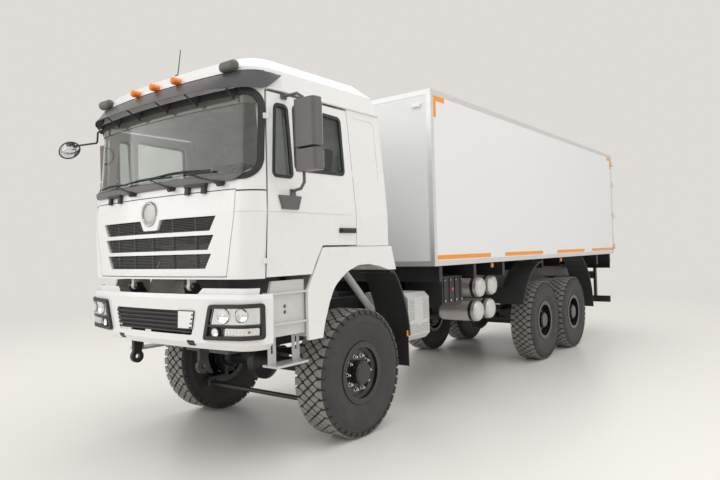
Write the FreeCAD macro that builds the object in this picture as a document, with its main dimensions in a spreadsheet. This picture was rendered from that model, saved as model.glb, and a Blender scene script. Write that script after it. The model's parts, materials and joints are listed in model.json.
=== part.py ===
# Six wheeled all-terrain truck with a tilting cab and an insulated box body.
# Lengths are in millimetres. The front of the truck points to -Y, its left side
# to +X and up is +Z. All sizes along Y are taken from the front axle, and every
# finished piece is then moved so that the part's origin lies under its middle.
import FreeCAD, Part
import Sketcher
import math
import os

from FreeCAD import Placement, Rotation, Vector

os.makedirs("parts", exist_ok=True)
doc = FreeCAD.newDocument("Truck")
sheet = doc.addObject("Spreadsheet::Sheet", "Sizes")

# Sizes of the truck: name, value, meaning
SIZES = [
    ("origin_shift", -3560, "from the front axle to the middle of the truck"),
    ("fit", 0.3, "gap between two pieces that rest on each other"),
    ("run", 8, "gap round doors and flaps that swing"),
    ("roof_gap", 0.8, "gap between the roof and what stands on its curved skin"),
    # wheels and tyres
    ("tyre_r", 630, "tyre radius over the tread"),
    ("tyre_w", 375, "tyre width over the side walls"),
    ("tread_w", 320, "width of the tread"),
    ("bead_r", 262, "radius of the bead seat"),
    ("rim_w", 300, "rim width inside the flanges"),
    ("flange_r", 305, "radius of the rim flange"),
    ("flange_t", 10, "thickness of the rim flange"),
    ("rim_t", 12, "thickness of the rim barrel"),
    ("track_half", 1035, "wheel centre from the middle plane"),
    ("bogie_front", 4864, "second axle behind the first"),
    ("bogie_rear", 6259, "third axle behind the first"),
    ("stud_circle", 335, "pitch circle of the wheel studs"),
    ("stud_count", 10, "wheel studs"),
    ("nut_r", 17, "radius of a wheel nut"),
    ("front_disc", 96, "outer face of the front wheel disc from the wheel centre"),
    ("rear_disc", 8, "outer face of the rear wheel disc from the wheel centre"),
    ("disc_t", 16, "thickness of the wheel disc"),
    ("spindle_r", 60, "radius of the wheel spindle"),
    ("drum_r", 205, "outer radius of the brake drum"),
    # axles and steering
    ("axle_r", 75, "radius of the axle tube"),
    ("diff_r", 205, "radius of the differential case"),
    ("front_diff_x", -230, "middle of the front differential"),
    ("kingpin_x", 800, "steering axis from the middle plane"),
    ("ball_r", 115, "radius of the ball at the end of the front axle"),
    ("knuckle_r", 152, "outer radius of the steering knuckle"),
    ("arm_y", -300, "steering arm eye, ahead of the axle"),
    ("arm_z", 400, "height of the steering arms"),
    # chassis frame
    ("rail_x", 430, "outer face of the frame rails"),
    ("rail_w", 80, "width of the rail flanges"),
    ("rail_t", 9, "thickness of the rail web"),
    ("rail_low", 1020, "underside of the rails"),
    ("rail_h", 280, "height of the rails"),
    ("rail_front", -1290, "front end of the rails"),
    ("rail_rear", 8560, "rear end of the rails"),
    ("spring_x", 430, "middle of the leaf springs"),
    ("spring_w", 90, "width of the leaf springs"),
    ("tow_bore_r", 24, "bore of the front towing eyes"),
    ("jaw_bore_r", 26, "bore of the rear towing jaw"),
    # box body
    ("box_half", 1275, "half width of the box"),
    ("box_front", 1314, "front face of the box"),
    ("box_rear", 8662, "rear face of the box"),
    ("box_low", 1632, "underside of the box"),
    ("box_high", 3702, "top of the box"),
    ("post", 60, "width of the aluminium corner profiles"),
    ("skin_in", 3, "how far the wall skin lies behind the profiles"),
    ("box_hinge_x", 1300, "hinge axis of the rear doors from the middle plane"),
    ("box_hinge_y", 8690, "hinge axis of the rear doors"),
    # cab
    ("cab_wall", 60, "thickness of the cab walls and doors"),
    ("recess", 5, "depth of the recess in the rear quarter"),
    ("cab_top", 3210, "joint between cab body and roof"),
    ("arch_high", 1885, "underside of the cab above the wheel arch"),
    ("cab_bow", 7000, "radius of the bow of the cab front"),
    ("cab_corner", 220, "corner radius of the cab"),
    ("glass_t", 6, "thickness of the glass"),
    ("glass_in", 22, "how far the glass lies behind the skin"),
    ("tilt_y", -1440, "tilt axis of the cab"),
    ("tilt_z", 1560, "height of the tilt axis"),
    ("door_front_low", -1295, "front edge of the door at its foot"),
    ("door_front_high", -1229, "front edge of the door at its head"),
    ("door_rear_low", -102, "rear edge of the door at its foot"),
    ("door_rear_high", -188, "rear edge of the door at its head"),
    ("door_low", 1640, "underside of the door"),
    ("door_high", 3190, "top of the door"),
    ("hinge_x_low", 1258, "door hinge axis at the foot of the door"),
    ("hinge_x_high", 1232, "door hinge axis at the head of the door"),
    ("hinge_r", 9, "radius of the door hinges"),
    ("flap_top", 2365, "top of the front flap"),
    ("flap_low", 1655, "underside of the front flap"),
    ("flap_half_high", 1062, "half width of the flap at the top"),
    ("flap_half_low", 960, "half width of the flap at the foot"),
    ("screen_low", 2500, "lower edge of the windscreen"),
    ("screen_high", 3165, "upper edge of the windscreen"),
    ("screen_half", 1232, "half width of the windscreen opening"),
    ("screen_rear", -1278, "where the windscreen ends at the side"),
    ("crease_z", 2180, "height of the crease along the door"),
    ("fender_nose_y", -595, "upper front corner of the fender"),
    ("fender_nose_z", 1871, "height of that corner"),
    ("fender_high", 1878, "top of the fender"),
    # roof
    ("aerial_foot_y", -1235, "foot of the roof aerial"),
    ("aerial_tip_y", -1185, "tip of the roof aerial"),
    ("aerial_tip_z", 3817, "height of the tip"),
    # levels of the cab skin: height, half width, front and rear face
    ("cab_foot_z", 1630, "foot of the cab skin"),
    ("cab_foot_half", 1236, "half width at the foot"),
    ("cab_foot_nose", -1555, "front at the foot"),
    ("cab_foot_rear", 440, "rear at the foot"),
    ("cab_crease_z", 2180, "level of the crease"),
    ("cab_crease_half", 1245, "half width at the crease"),
    ("cab_crease_nose", -1560, "front at the crease"),
    ("cab_crease_rear", 428, "rear at the crease"),
    ("cab_belt_z", 2440, "level of the window sills"),
    ("cab_belt_half", 1240, "half width at the sills"),
    ("cab_belt_nose", -1530, "front at the sills"),
    ("cab_belt_rear", 410, "rear at the sills"),
    ("cab_head_z", 3210, "joint of body and roof"),
    ("cab_head_half", 1217, "half width at the roof joint"),
    ("cab_head_nose", -1470, "front at the roof joint"),
    ("cab_head_rear", 336, "rear at the roof joint"),
    ("cab_brow_z", 3400, "lower level of the roof"),
    ("cab_brow_half", 1190, "half width there"),
    ("cab_brow_nose", -1445, "front there"),
    ("cab_brow_rear", 250, "rear there"),
    ("cab_edge_z", 3500, "upper level of the roof"),
    ("cab_edge_half", 1110, "half width there"),
    ("cab_edge_nose", -1350, "front there"),
    ("cab_edge_rear", 60, "rear there"),
    ("cab_crown_z", 3550, "top of the roof"),
    ("cab_crown_half", 900, "half width there"),
    ("cab_crown_nose", -1130, "front there"),
    ("cab_crown_rear", -200, "rear there"),
    # bumper
    ("bumper_low", 1040, "underside of the bumper"),
    ("bumper_high", 1505, "top of the bumper"),
    ("bumper_t", 8, "thickness of the bumper skin"),
    ("bumper_corner", 190, "corner radius of the bumper"),
    # tanks
    ("tank_r", 138, "radius of an air tank"),
    ("tank_end", 1105, "outer end of the air tanks"),
    ("tank_len", 620, "length of the air tanks"),
]

for row, (alias, value, meaning) in enumerate(SIZES, 1):
    sheet.set("A%d" % row, meaning)
    sheet.set("B%d" % row, str(value))
    sheet.setAlias("B%d" % row, alias)
doc.recompute()


class Size:
    """A length that carries its number and the sheet expression behind it."""

    def __init__(self, value, text):
        self.value = float(value)
        self.text = text

    def __add__(self, other):
        return Size(self.value + number(other), "(%s + %s)" % (self.text, words(other)))

    def __radd__(self, other):
        return Size(number(other) + self.value, "(%s + %s)" % (words(other), self.text))

    def __sub__(self, other):
        return Size(self.value - number(other), "(%s - %s)" % (self.text, words(other)))

    def __rsub__(self, other):
        return Size(number(other) - self.value, "(%s - %s)" % (words(other), self.text))

    def __mul__(self, other):
        return Size(self.value * number(other), "(%s * %s)" % (self.text, words(other)))

    __rmul__ = __mul__

    def __truediv__(self, other):
        return Size(self.value / number(other), "(%s / %s)" % (self.text, words(other)))

    def __neg__(self):
        return Size(-self.value, "(-1 * %s)" % self.text)


def number(size):
    return size.value if isinstance(size, Size) else float(size)


def words(size):
    return size.text if isinstance(size, Size) else "%.6g" % size


class Names:
    """Every name in the sheet as a Size."""


S = Names()
for alias, value, meaning in SIZES:
    setattr(S, alias, Size(value, "Sizes." + alias))


# Helpers that make objects whose sizes follow the sheet
TURNS = {
    "x": Rotation(Vector(0, 1, 0), 90),
    "y": Rotation(Vector(1, 0, 0), -90),
    "z": Rotation(),
}


def bind(item, prop, size):
    """Set one property, and keep it tied to the sheet where a Size is given."""
    if isinstance(size, Size):
        item.setExpression(prop, size.text)
    else:
        setattr(item, prop, size)


def place(item, x, y, z, rotation=None):
    """Put an object at x, y, z, tied to the sheet where a Size is given."""
    spot = Vector(number(x), number(y), number(z))
    item.Placement = Placement(spot, rotation or Rotation())
    for axis, size in zip("xyz", (x, y, z)):
        if isinstance(size, Size):
            item.setExpression("Placement.Base." + axis, size.text)
    return item


def block(x, y, z):
    """Box between a low and a high face along x, y and z."""
    item = doc.addObject("Part::Box", "Block")
    bind(item, "Length", x[1] - x[0])
    bind(item, "Width", y[1] - y[0])
    bind(item, "Height", z[1] - z[0])
    return place(item, x[0], y[0], z[0])


def rod(axis, x, y, z, radius, length):
    """Cylinder that starts at x, y, z and runs along the axis."""
    item = doc.addObject("Part::Cylinder", "Rod")
    bind(item, "Radius", radius)
    bind(item, "Height", length)
    return place(item, x, y, z, TURNS[axis])


def ball(x, y, z, radius):
    item = doc.addObject("Part::Sphere", "Ball")
    bind(item, "Radius", radius)
    return place(item, x, y, z)


def bar(start, end, radius):
    """Round bar between two points that are plain numbers."""
    start = Vector(*start)
    way = Vector(*end) - start
    item = doc.addObject("Part::Cylinder", "Bar")
    bind(item, "Radius", radius)
    item.Height = way.Length
    item.Placement = Placement(start, Rotation(Vector(0, 0, 1), way))
    return item


def join(*items):
    if len(items) == 1:
        return items[0]
    item = doc.addObject("Part::MultiFuse", "Joined")
    item.Shapes = list(items)
    return item


def cut(base, *tools):
    item = doc.addObject("Part::Cut", "Cut")
    item.Base = base
    item.Tool = join(*tools)
    return item


def common(*items):
    item = doc.addObject("Part::MultiCommon", "Common")
    item.Shapes = list(items)
    return item


def group(*items):
    item = doc.addObject("Part::Compound", "Group")
    item.Links = list(items)
    return item


def mirror(item):
    """The same piece on the other side of the truck."""
    other = doc.addObject("Part::Mirroring", "Mirrored")
    other.Source = item
    other.Normal = Vector(1, 0, 0)
    other.Base = Vector(0, 0, 0)
    return other


def both(item):
    return group(item, mirror(item))


def moved(item, x, y, z, rotation=None):
    return place(group(item), x, y, z, rotation)


def turned(item, axis, angle):
    """A copy turned about one of the main axes through the origin."""
    copy = group(item)
    copy.Placement = Placement(Vector(0, 0, 0), Rotation(axis, angle))
    return copy


def arc(y, z, radius, start, end, steps):
    """Points along a round stretch, by angles in degrees."""
    points = []
    for step in range(steps + 1):
        angle = math.radians(start + (end - start) * step / steps)
        points.append((y + radius * math.cos(angle), z + radius * math.sin(angle)))
    return points


PLANES = {"xy": "XY_Plane", "xz": "XZ_Plane", "yz": "YZ_Plane"}


def origin_plane(body, plane):
    for feature in body.Origin.OriginFeatures:
        if feature.Role == PLANES[plane]:
            return feature
    raise RuntimeError("no plane " + plane)


def outline(body, plane, points, offset=0):
    """Sketch of a closed polygon whose corners are tied to the sheet."""
    sketch = body.newObject("Sketcher::SketchObject", "Outline")
    sketch.AttachmentSupport = [(origin_plane(body, plane), "")]
    sketch.MapMode = "FlatFace"
    sketch.AttachmentOffset = Placement(Vector(0, 0, number(offset)), Rotation())
    if isinstance(offset, Size):
        sketch.setExpression("AttachmentOffset.Base.z", offset.text)
    spots = [Vector(number(a), number(b), 0) for a, b in points]
    count = len(spots)
    for index in range(count):
        sketch.addGeometry(Part.LineSegment(spots[index], spots[(index + 1) % count]), False)
    rules = []
    for index in range(count):
        rules.append(Sketcher.Constraint("Coincident", index, 2, (index + 1) % count, 1))
    sketch.addConstraint(rules)
    for index, (a, b) in enumerate(points):
        for kind, size in (("DistanceX", a), ("DistanceY", b)):
            rule = Sketcher.Constraint(kind, -1, 1, index, 1, number(size))
            slot = sketch.addConstraint(rule)
            if isinstance(size, Size):
                sketch.setExpression("Constraints[%d]" % slot, size.text)
    return sketch


def prism(plane, points, low, high, round_by=None, corners=None):
    """Polygon padded between two places along the axis square to its plane.

    All its corners are rounded, or only those whose numbers are given.
    """
    body = doc.addObject("PartDesign::Body", "Prism")
    start = -high if plane == "xz" else low
    sketch = outline(body, plane, points, start)
    pad = body.newObject("PartDesign::Pad", "Pad")
    pad.Profile = sketch
    bind(pad, "Length", high - low)
    sketch.Visibility = False
    if round_by is not None:
        doc.recompute()
        way = {"xy": Vector(0, 0, 1), "xz": Vector(0, 1, 0), "yz": Vector(1, 0, 0)}[plane]
        chosen = range(len(points)) if corners is None else corners
        spots = [(number(points[index][0]), number(points[index][1])) for index in chosen]
        names = []
        for index, edge in enumerate(pad.Shape.Edges, 1):
            if edge.Curve.TypeId != "Part::GeomLine" or abs(edge.tangentAt(0).dot(way)) < 0.999:
                continue
            at = edge.Vertexes[0].Point
            seen = {"xy": (at.x, at.y), "xz": (at.x, at.z), "yz": (at.y, at.z)}[plane]
            if min(math.dist(seen, spot) for spot in spots) < 0.01:
                names.append("Edge%d" % index)
        fillet = body.newObject("PartDesign::Fillet", "Fillet")
        fillet.Base = (pad, names)
        bind(fillet, "Radius", round_by)
    return body


def lathe(points, angle=360):
    """Polygon of (x, radius) corners turned about the X axis."""
    body = doc.addObject("PartDesign::Body", "Lathe")
    sketch = outline(body, "xz", points)
    turn = body.newObject("PartDesign::Revolution", "Revolution")
    turn.Profile = sketch
    turn.ReferenceAxis = (sketch, ["H_Axis"])
    turn.Angle = angle
    sketch.Visibility = False
    return body


NODES = []


def node(label, item, x=0, y=0, z=0, rotation=None):
    """Finish one piece: own label, own placement, own file."""
    piece = group(item)
    place(piece, x, S.origin_shift + y, z, rotation)
    piece.Label = label
    NODES.append(piece)
    return piece


# Wheels. Their profiles lie round the X axis, with +X as the outer side.
none = Size(0, "0")
half_w = S.tyre_w / 2
half_tread = S.tread_w / 2
half_rim = S.rim_w / 2
# Tyre: one flat sided sector with its lug, repeated round the axle
LUGS = 24
step_angle = 2 * math.pi / LUGS
lug_half = step_angle * 0.31
carcass_side = [
    (half_rim - 7, S.bead_r + S.fit),
    (half_rim - 2, S.flange_r + 8),
    (half_w, S.tyre_r - 165),
    (half_tread + 12, S.tyre_r - 48),
    (half_tread - 10, S.tyre_r - 30),
]
carcass_outline = carcass_side + [(-x, radius) for x, radius in reversed(carcass_side)]
sector_r = S.tyre_r + 60
sector_half = sector_r * math.tan(step_angle / 2)
sector = common(
    prism("xz", carcass_outline, -sector_half, sector_half),
    prism("yz", [(none, none), (sector_half, sector_r), (-sector_half, sector_r)], -S.tyre_w, S.tyre_w),
)
lug_foot = S.tyre_r - 60
lug = prism(
    "yz",
    [
        (-lug_foot * math.tan(lug_half * 1.15), lug_foot),
        (lug_foot * math.tan(lug_half * 1.15), lug_foot),
        (S.tyre_r * math.tan(lug_half), S.tyre_r + none),
        (-S.tyre_r * math.tan(lug_half), S.tyre_r + none),
    ],
    -half_tread,
    half_tread,
)
tyre_sector = join(sector, lug)
tyre = join(
    *[
        place(group(tyre_sector), 0, 0, 0, Rotation(Vector(1, 0, 0), 360.0 * index / LUGS))
        for index in range(LUGS)
    ]
)

barrel_out = S.bead_r
barrel_in = S.bead_r - S.rim_t


def rim_profile(disc, hub_r, hub_out):
    """Barrel, flanges, disc and hub of one wheel in a single outline."""
    return [
        (half_rim + S.flange_t, barrel_in),
        (half_rim + S.flange_t, S.flange_r),
        (half_rim + 1, S.flange_r),
        (half_rim + 1, barrel_out + 4),
        (half_rim - 6, barrel_out),
        (-half_rim + 6, barrel_out),
        (-half_rim - 1, barrel_out + 4),
        (-half_rim - 1, S.flange_r),
        (-half_rim - S.flange_t, S.flange_r),
        (-half_rim - S.flange_t, barrel_in),
        (disc - S.disc_t - 30, barrel_in),
        (disc - S.disc_t, barrel_in - 26),
        (disc - S.disc_t, S.drum_r),
        (-half_rim + 14, S.drum_r),
        (-half_rim + 14, S.drum_r - 18),
        (disc - S.disc_t - 14, S.drum_r - 18),
        (disc - S.disc_t - 14, 110),
        (-70, 92),
        (-70, S.spindle_r + S.fit),
        (hub_out - 40, S.spindle_r + S.fit),
        (hub_out - 40, 0),
        (hub_out, 0),
        (hub_out, hub_r - 18),
        (hub_out - 14, hub_r),
        (disc, hub_r),
        (disc, barrel_in - 30),
        (disc + 24, barrel_in),
    ]


front_rim = lathe(rim_profile(S.front_disc, 118, S.front_disc + 88))
rear_rim = lathe(rim_profile(S.rear_disc, 122, S.rear_disc + 150))


def with_nuts(rim, disc):
    """The wheel nuts stand in a ring on the disc."""
    nuts = []
    for step in range(int(S.stud_count.value)):
        nut = doc.addObject("Part::Prism", "Nut")
        nut.Polygon = 6
        bind(nut, "Circumradius", S.nut_r)
        nut.Height = 26
        angle = math.radians(360.0 * step / S.stud_count.value)
        place(
            nut,
            disc - 2,
            S.stud_circle * (math.cos(angle) / 2),
            S.stud_circle * (math.sin(angle) / 2),
            TURNS["x"],
        )
        nuts.append(nut)
    return join(rim, *nuts)


front_wheel = with_nuts(front_rim, S.front_disc)
rear_wheel = with_nuts(rear_rim, S.rear_disc)

about_turn = Rotation(Vector(0, 0, 1), 180)
WHEELS = [
    ("front_left", front_wheel, S.track_half, 0, None),
    ("front_right", front_wheel, -S.track_half, 0, about_turn),
    ("middle_left", rear_wheel, S.track_half, S.bogie_front, None),
    ("middle_right", rear_wheel, -S.track_half, S.bogie_front, about_turn),
    ("rear_left", rear_wheel, S.track_half, S.bogie_rear, None),
    ("rear_right", rear_wheel, -S.track_half, S.bogie_rear, about_turn),
]
for where, rim, x, y, rotation in WHEELS:
    node("tyre_" + where, tyre, x, y, S.tyre_r, rotation)
    node("wheel_" + where, rim, x, y, S.tyre_r, rotation)


# Front axle: tube, differential and the balls that the knuckles turn on
axle_z = S.tyre_r
front_tube = rod("x", -S.kingpin_x, 0, axle_z, S.axle_r, S.kingpin_x * 2)
front_diff = moved(
    lathe(
        [
            (-150, 0),
            (-150, 90),
            (-95, 160),
            (-40, S.diff_r),
            (60, S.diff_r),
            (110, 160),
            (170, 90),
            (170, 0),
        ]
    ),
    S.front_diff_x,
    0,
    axle_z,
)
front_nose = rod("y", S.front_diff_x, 0, axle_z + 30, 92, 330)
axle_balls = both(ball(S.kingpin_x, 0, axle_z, S.ball_r))
spring_pads = both(
    block(
        (S.spring_x - 62, S.spring_x + 62),
        (-95, 95),
        (axle_z, axle_z + 118),
    )
)
kingpins = both(
    join(
        rod("z", S.kingpin_x, 0, axle_z + S.ball_r - 30, 20, 76),
        rod("z", S.kingpin_x, 0, axle_z - S.ball_r - 46, 20, 76),
    )
)
node("front_axle", join(front_tube, front_diff, front_nose, axle_balls, spring_pads, kingpins))

# Steering knuckles: cup round the ball, spindle, backing plate and steering arm
cup_profile = []
cup_steps = 8
for step in range(cup_steps + 1):
    angle = math.radians(-12 + 102.0 * step / cup_steps)
    cup_profile.append((S.knuckle_r * math.sin(angle), S.knuckle_r * math.cos(angle)))
inner = []
for step in range(cup_steps + 1):
    angle = math.radians(-12 + 102.0 * step / cup_steps)
    inner.append(((S.ball_r + 4) * math.sin(angle), (S.ball_r + 4) * math.cos(angle)))
cup_profile[-1] = (S.knuckle_r, Size(0, "0") + 0)
inner[-1] = (S.ball_r + 4, Size(0, "0") + 0)
cup = moved(lathe(cup_profile + list(reversed(inner))), S.kingpin_x, 0, axle_z)
spindle = rod("x", S.kingpin_x + S.ball_r + 14, 0, axle_z, S.spindle_r, 200)
back_plate = cut(
    rod("x", S.kingpin_x + 58, 0, axle_z, S.drum_r - 30, 10),
    rod("x", S.kingpin_x + 50, 0, axle_z, S.knuckle_r - 24, 30),
)
arm = prism(
    "xy",
    [
        (S.kingpin_x - 35, -60),
        (S.kingpin_x + 45, -60),
        (S.kingpin_x + 26, S.arm_y - 26),
        (S.kingpin_x - 26, S.arm_y - 26),
    ],
    S.arm_z,
    S.arm_z + 34,
)
arm_drop = block(
    (S.kingpin_x - 35, S.kingpin_x + 45),
    (-105, -60),
    (S.arm_z, S.arm_z + 130),
)
eye_hole = rod("z", S.kingpin_x, S.arm_y, S.arm_z - 5, 11.3, 60)
caps = join(
    rod("z", S.kingpin_x, 0, axle_z + S.knuckle_r - 14, 48, 34),
    rod("z", S.kingpin_x, 0, axle_z - S.knuckle_r - 20, 48, 34),
)
pin_room = join(
    ball(S.kingpin_x, 0, axle_z, S.ball_r + 4),
    rod("x", S.kingpin_x - 300, 0, axle_z, S.axle_r + 20, 260),
    rod("z", S.kingpin_x, 0, axle_z - 250, 20 + S.fit, 500),
)
knuckle = cut(join(cup, spindle, back_plate, arm, arm_drop, caps), eye_hole, pin_room)
node("knuckle_left", knuckle)
node("knuckle_right", mirror(knuckle))

# Tie rod under the arms, with a stud up through each arm eye
tie_tube = rod("x", -S.kingpin_x + 30, S.arm_y, S.arm_z - 34, 24, S.kingpin_x * 2 - 60)
tie_ends = both(
    join(
        rod("z", S.kingpin_x, S.arm_y, S.arm_z - 62, 36, 61.7),
        rod("z", S.kingpin_x, S.arm_y, S.arm_z - 10, 11, 52),
    )
)
node("tie_rod", join(tie_tube, tie_ends))


# Rear axles: two driven axles with their differentials in line
def rear_axle(y, nose_from, nose_len):
    tube = rod("x", -S.track_half - 30, y, axle_z, S.spindle_r, S.track_half * 2 + 60)
    sleeve = rod("x", -840, y, axle_z, S.axle_r + 10, 1680)
    case = moved(
        lathe(
            [
                (-165, 0),
                (-165, 95),
                (-105, 165),
                (-50, S.diff_r),
                (50, S.diff_r),
                (105, 165),
                (165, 95),
                (165, 0),
            ]
        ),
        0,
        y,
        axle_z,
    )
    nose = rod("y", 0, y + nose_from, axle_z + 60, 96, nose_len)
    plates = both(rod("x", 868, y, axle_z, S.drum_r - 30, 8))
    seats = both(
        block((S.spring_x + 5, S.spring_x + 125), (y - 70, y + 70), (axle_z, axle_z + 112))
    )
    chambers = both(
        join(
            rod("y", 690, y - 285, axle_z + 110, 82, 60),
            rod("y", 690, y - 225, axle_z + 110, 68, 70),
            block((655, 725), (y - 165, y), (axle_z + 20, axle_z + 130)),
        )
    )
    return join(tube, sleeve, case, nose, plates, seats, chambers)


node(
    "rear_axles",
    group(rear_axle(S.bogie_front, -340, 640), rear_axle(S.bogie_rear, -340, 340)),
)

# Leaf springs: a bent pack for each side of the front axle and of the bogie
front_leaf = prism(
    "yz",
    [
        (-800, 985),
        (-420, 880),
        (-100, 838),
        (100, 838),
        (420, 880),
        (860, 985),
        (860, 960),
        (420, 835),
        (110, axle_z + 118 + S.fit),
        (-110, axle_z + 118 + S.fit),
        (-420, 835),
        (-800, 960),
    ],
    S.spring_x - S.spring_w / 2,
    S.spring_x + S.spring_w / 2,
)
front_shackles = join(
    block((S.spring_x - 40, S.spring_x + 40), (-840, -770), (940, S.rail_low - S.fit)),
    block((S.spring_x - 40, S.spring_x + 40), (820, 890), (940, S.rail_low - S.fit)),
)
bogie_mid = (S.bogie_front + S.bogie_rear) / 2
rear_leaf = prism(
    "yz",
    [
        (S.bogie_front - 110, axle_z + 150),
        (bogie_mid - 420, 905),
        (bogie_mid - 120, 960),
        (bogie_mid + 120, 960),
        (bogie_mid + 420, 905),
        (S.bogie_rear + 110, axle_z + 150),
        (S.bogie_rear + 110, axle_z + 112 + S.fit),
        (S.bogie_rear - 110, axle_z + 112 + S.fit),
        (bogie_mid + 420, 815),
        (bogie_mid + 120, 800),
        (bogie_mid - 120, 800),
        (bogie_mid - 420, 815),
        (S.bogie_front + 110, axle_z + 112 + S.fit),
        (S.bogie_front - 110, axle_z + 112 + S.fit),
    ],
    S.spring_x + 20,
    S.spring_x + 20 + S.spring_w,
)
trunnion = join(
    block((S.spring_x + 10, S.spring_x + 120), (bogie_mid - 110, bogie_mid + 110), (680, 800)),
    rod("x", S.spring_x - 70, bogie_mid, 740, 62, 200),
)
node(
    "leaf_springs",
    group(
        both(join(front_leaf, front_shackles)),
        both(join(rear_leaf, trunnion)),
    ),
)


fit = S.fit


# Chassis frame: two rails of channel section, tied by crossmembers
def rail_piece(side_low, side_high):
    """Left rail: web and two flanges, from low to high along Y."""
    top = S.rail_low + S.rail_h
    section = [
        (S.rail_x - S.rail_w, S.rail_low),
        (S.rail_x, S.rail_low),
        (S.rail_x, top),
        (S.rail_x - S.rail_w, top),
        (S.rail_x - S.rail_w, top - S.rail_t),
        (S.rail_x - S.rail_t, top - S.rail_t),
        (S.rail_x - S.rail_t, S.rail_low + S.rail_t),
        (S.rail_x - S.rail_w, S.rail_low + S.rail_t),
    ]
    return prism("xz", section, side_low, side_high)


rails = both(rail_piece(S.rail_front, S.rail_rear))
cross_y = [-1230, 1300, 2300, 3900, 5560, 7100, 8500]
members = []
for y in cross_y:
    half = S.rail_x - S.rail_t
    members.append(
        block((-half, half), (y - 45, y + 45), (S.rail_low + 100, S.rail_low + S.rail_h - 20))
    )
trunnion_brackets = both(
    block((S.spring_x - 70, S.spring_x - 3), (bogie_mid - 150, bogie_mid + 150), (660, S.rail_low))
)
bracket_hole = rod("x", -700, bogie_mid, 740, 62.3, 1400)
# Rear towing jaw: a block on the last crossmember with an upright bore
jaw = block((-110, 110), (8500, 8672), (1000, 1130))
jaw_bore = rod("z", 0, 8610, 900, S.jaw_bore_r, 300)
jaw_slot = block((-120, 120), (8580, 8700), (1035, 1095))
# Plate that carries the air tanks on the left rail
tank_plate = block((S.rail_x - 1, S.tank_end - S.tank_len - S.fit), (2700, 3310), (900, 1300))
chassis_frame = cut(
    join(rails, *members, trunnion_brackets, jaw, tank_plate), bracket_hole, jaw_bore, jaw_slot
)
node("chassis_frame", chassis_frame)

# Subframe that carries the box: two long members and cross bearers
rail_top = S.rail_low + S.rail_h
long_members = both(
    block(
        (S.rail_x - S.rail_w, S.rail_x),
        (S.box_front + 60, S.box_rear - 120),
        (rail_top + S.fit, rail_top + 160),
    )
)
bearers = []
for step in range(9):
    y = S.box_front + 150 + step * 870
    half = 800 + none if step in (3, 4, 5, 6) else S.box_half - 35
    bearers.append(
        block(
            (-half, half),
            (y, y + 70),
            (rail_top + 140, S.box_low - S.fit),
        )
    )
node("box_subframe", join(long_members, *bearers))

# Engine as one block under the cab, gearbox and transfer case behind it
engine = join(
    block((-330, 330), (-960, 330), (880, 1760)),
    block((S.rail_t - S.rail_x + fit, S.rail_x - S.rail_t - fit), (-220, -120), (1120, 1200)),
)
gearbox = join(
    rod("y", 0, 330, 1190, 210, 560),
    block((-190, 190), (890, 1120), (880, 1330)),
)
transfer_case = join(
    block((-250, 200), (2480, 2900), (700, 1150)),
    block((S.rail_t - S.rail_x + fit, S.rail_x - S.rail_t - fit), (2640, 2740), (1080, 1150)),
)
node("engine_block", engine)
shaft_rear = bar((0, 2890, 850), (0, 4517, 700), 48)
shaft_mid = bar((0, 1110, 980), (0, 2490, 960), 48)
shaft_front = bar((-200, 2490, 850), (-230, 335, 668), 40)
shaft_bogie = bar((0, 5164.4, 690), (0, 5918.6, 690), 44)
node(
    "drivetrain",
    group(join(gearbox, transfer_case, shaft_mid, shaft_rear, shaft_front), shaft_bogie),
)


# Insulated box body: aluminium edge profiles with flat panels between them
def edge_frame():
    whole = block(
        (-S.box_half, S.box_half), (S.box_front, S.box_rear), (S.box_low, S.box_high)
    )
    p = S.post
    inner = (-S.box_half + p, S.box_half - p)
    deep = (S.box_front + p, S.box_rear - p)
    tall = (S.box_low + p, S.box_high - p)
    through_x = block((-S.box_half - 5, S.box_half + 5), deep, tall)
    through_y = block(inner, (S.box_front - 5, S.box_rear + 5), tall)
    through_z = block(inner, deep, (S.box_low - 5, S.box_high + 5))
    return cut(whole, through_x, through_y, through_z)


ears = []
for z in (1800, 2450, 3100, 3540):
    ears.append(
        block(
            (S.box_half - 20, S.box_hinge_x + 14),
            (S.box_rear - S.post + 6, S.box_hinge_y + 14),
            (z - 70, z - 40.3),
        )
    )
node("box_frame", join(edge_frame(), both(join(*ears))))

y_span = (S.box_front + S.post + fit, S.box_rear - S.post - fit)
z_span = (S.box_low + S.post + fit, S.box_high - S.post - fit)
side_wall = block((S.box_half - S.post, S.box_half - S.skin_in), y_span, z_span)
front_wall = block(
    (-S.box_half + S.post + fit, S.box_half - S.post - fit),
    (S.box_front + S.skin_in, S.box_front + S.post),
    z_span,
)
panel_x = (-S.box_half + S.post + fit, S.box_half - S.post - fit)
box_roof = block(panel_x, y_span, (S.box_high - S.post, S.box_high - S.skin_in))
box_floor = block(panel_x, y_span, (S.box_low, S.box_low + S.post))
node("box_panels", group(both(side_wall), front_wall, box_roof, box_floor))

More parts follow.
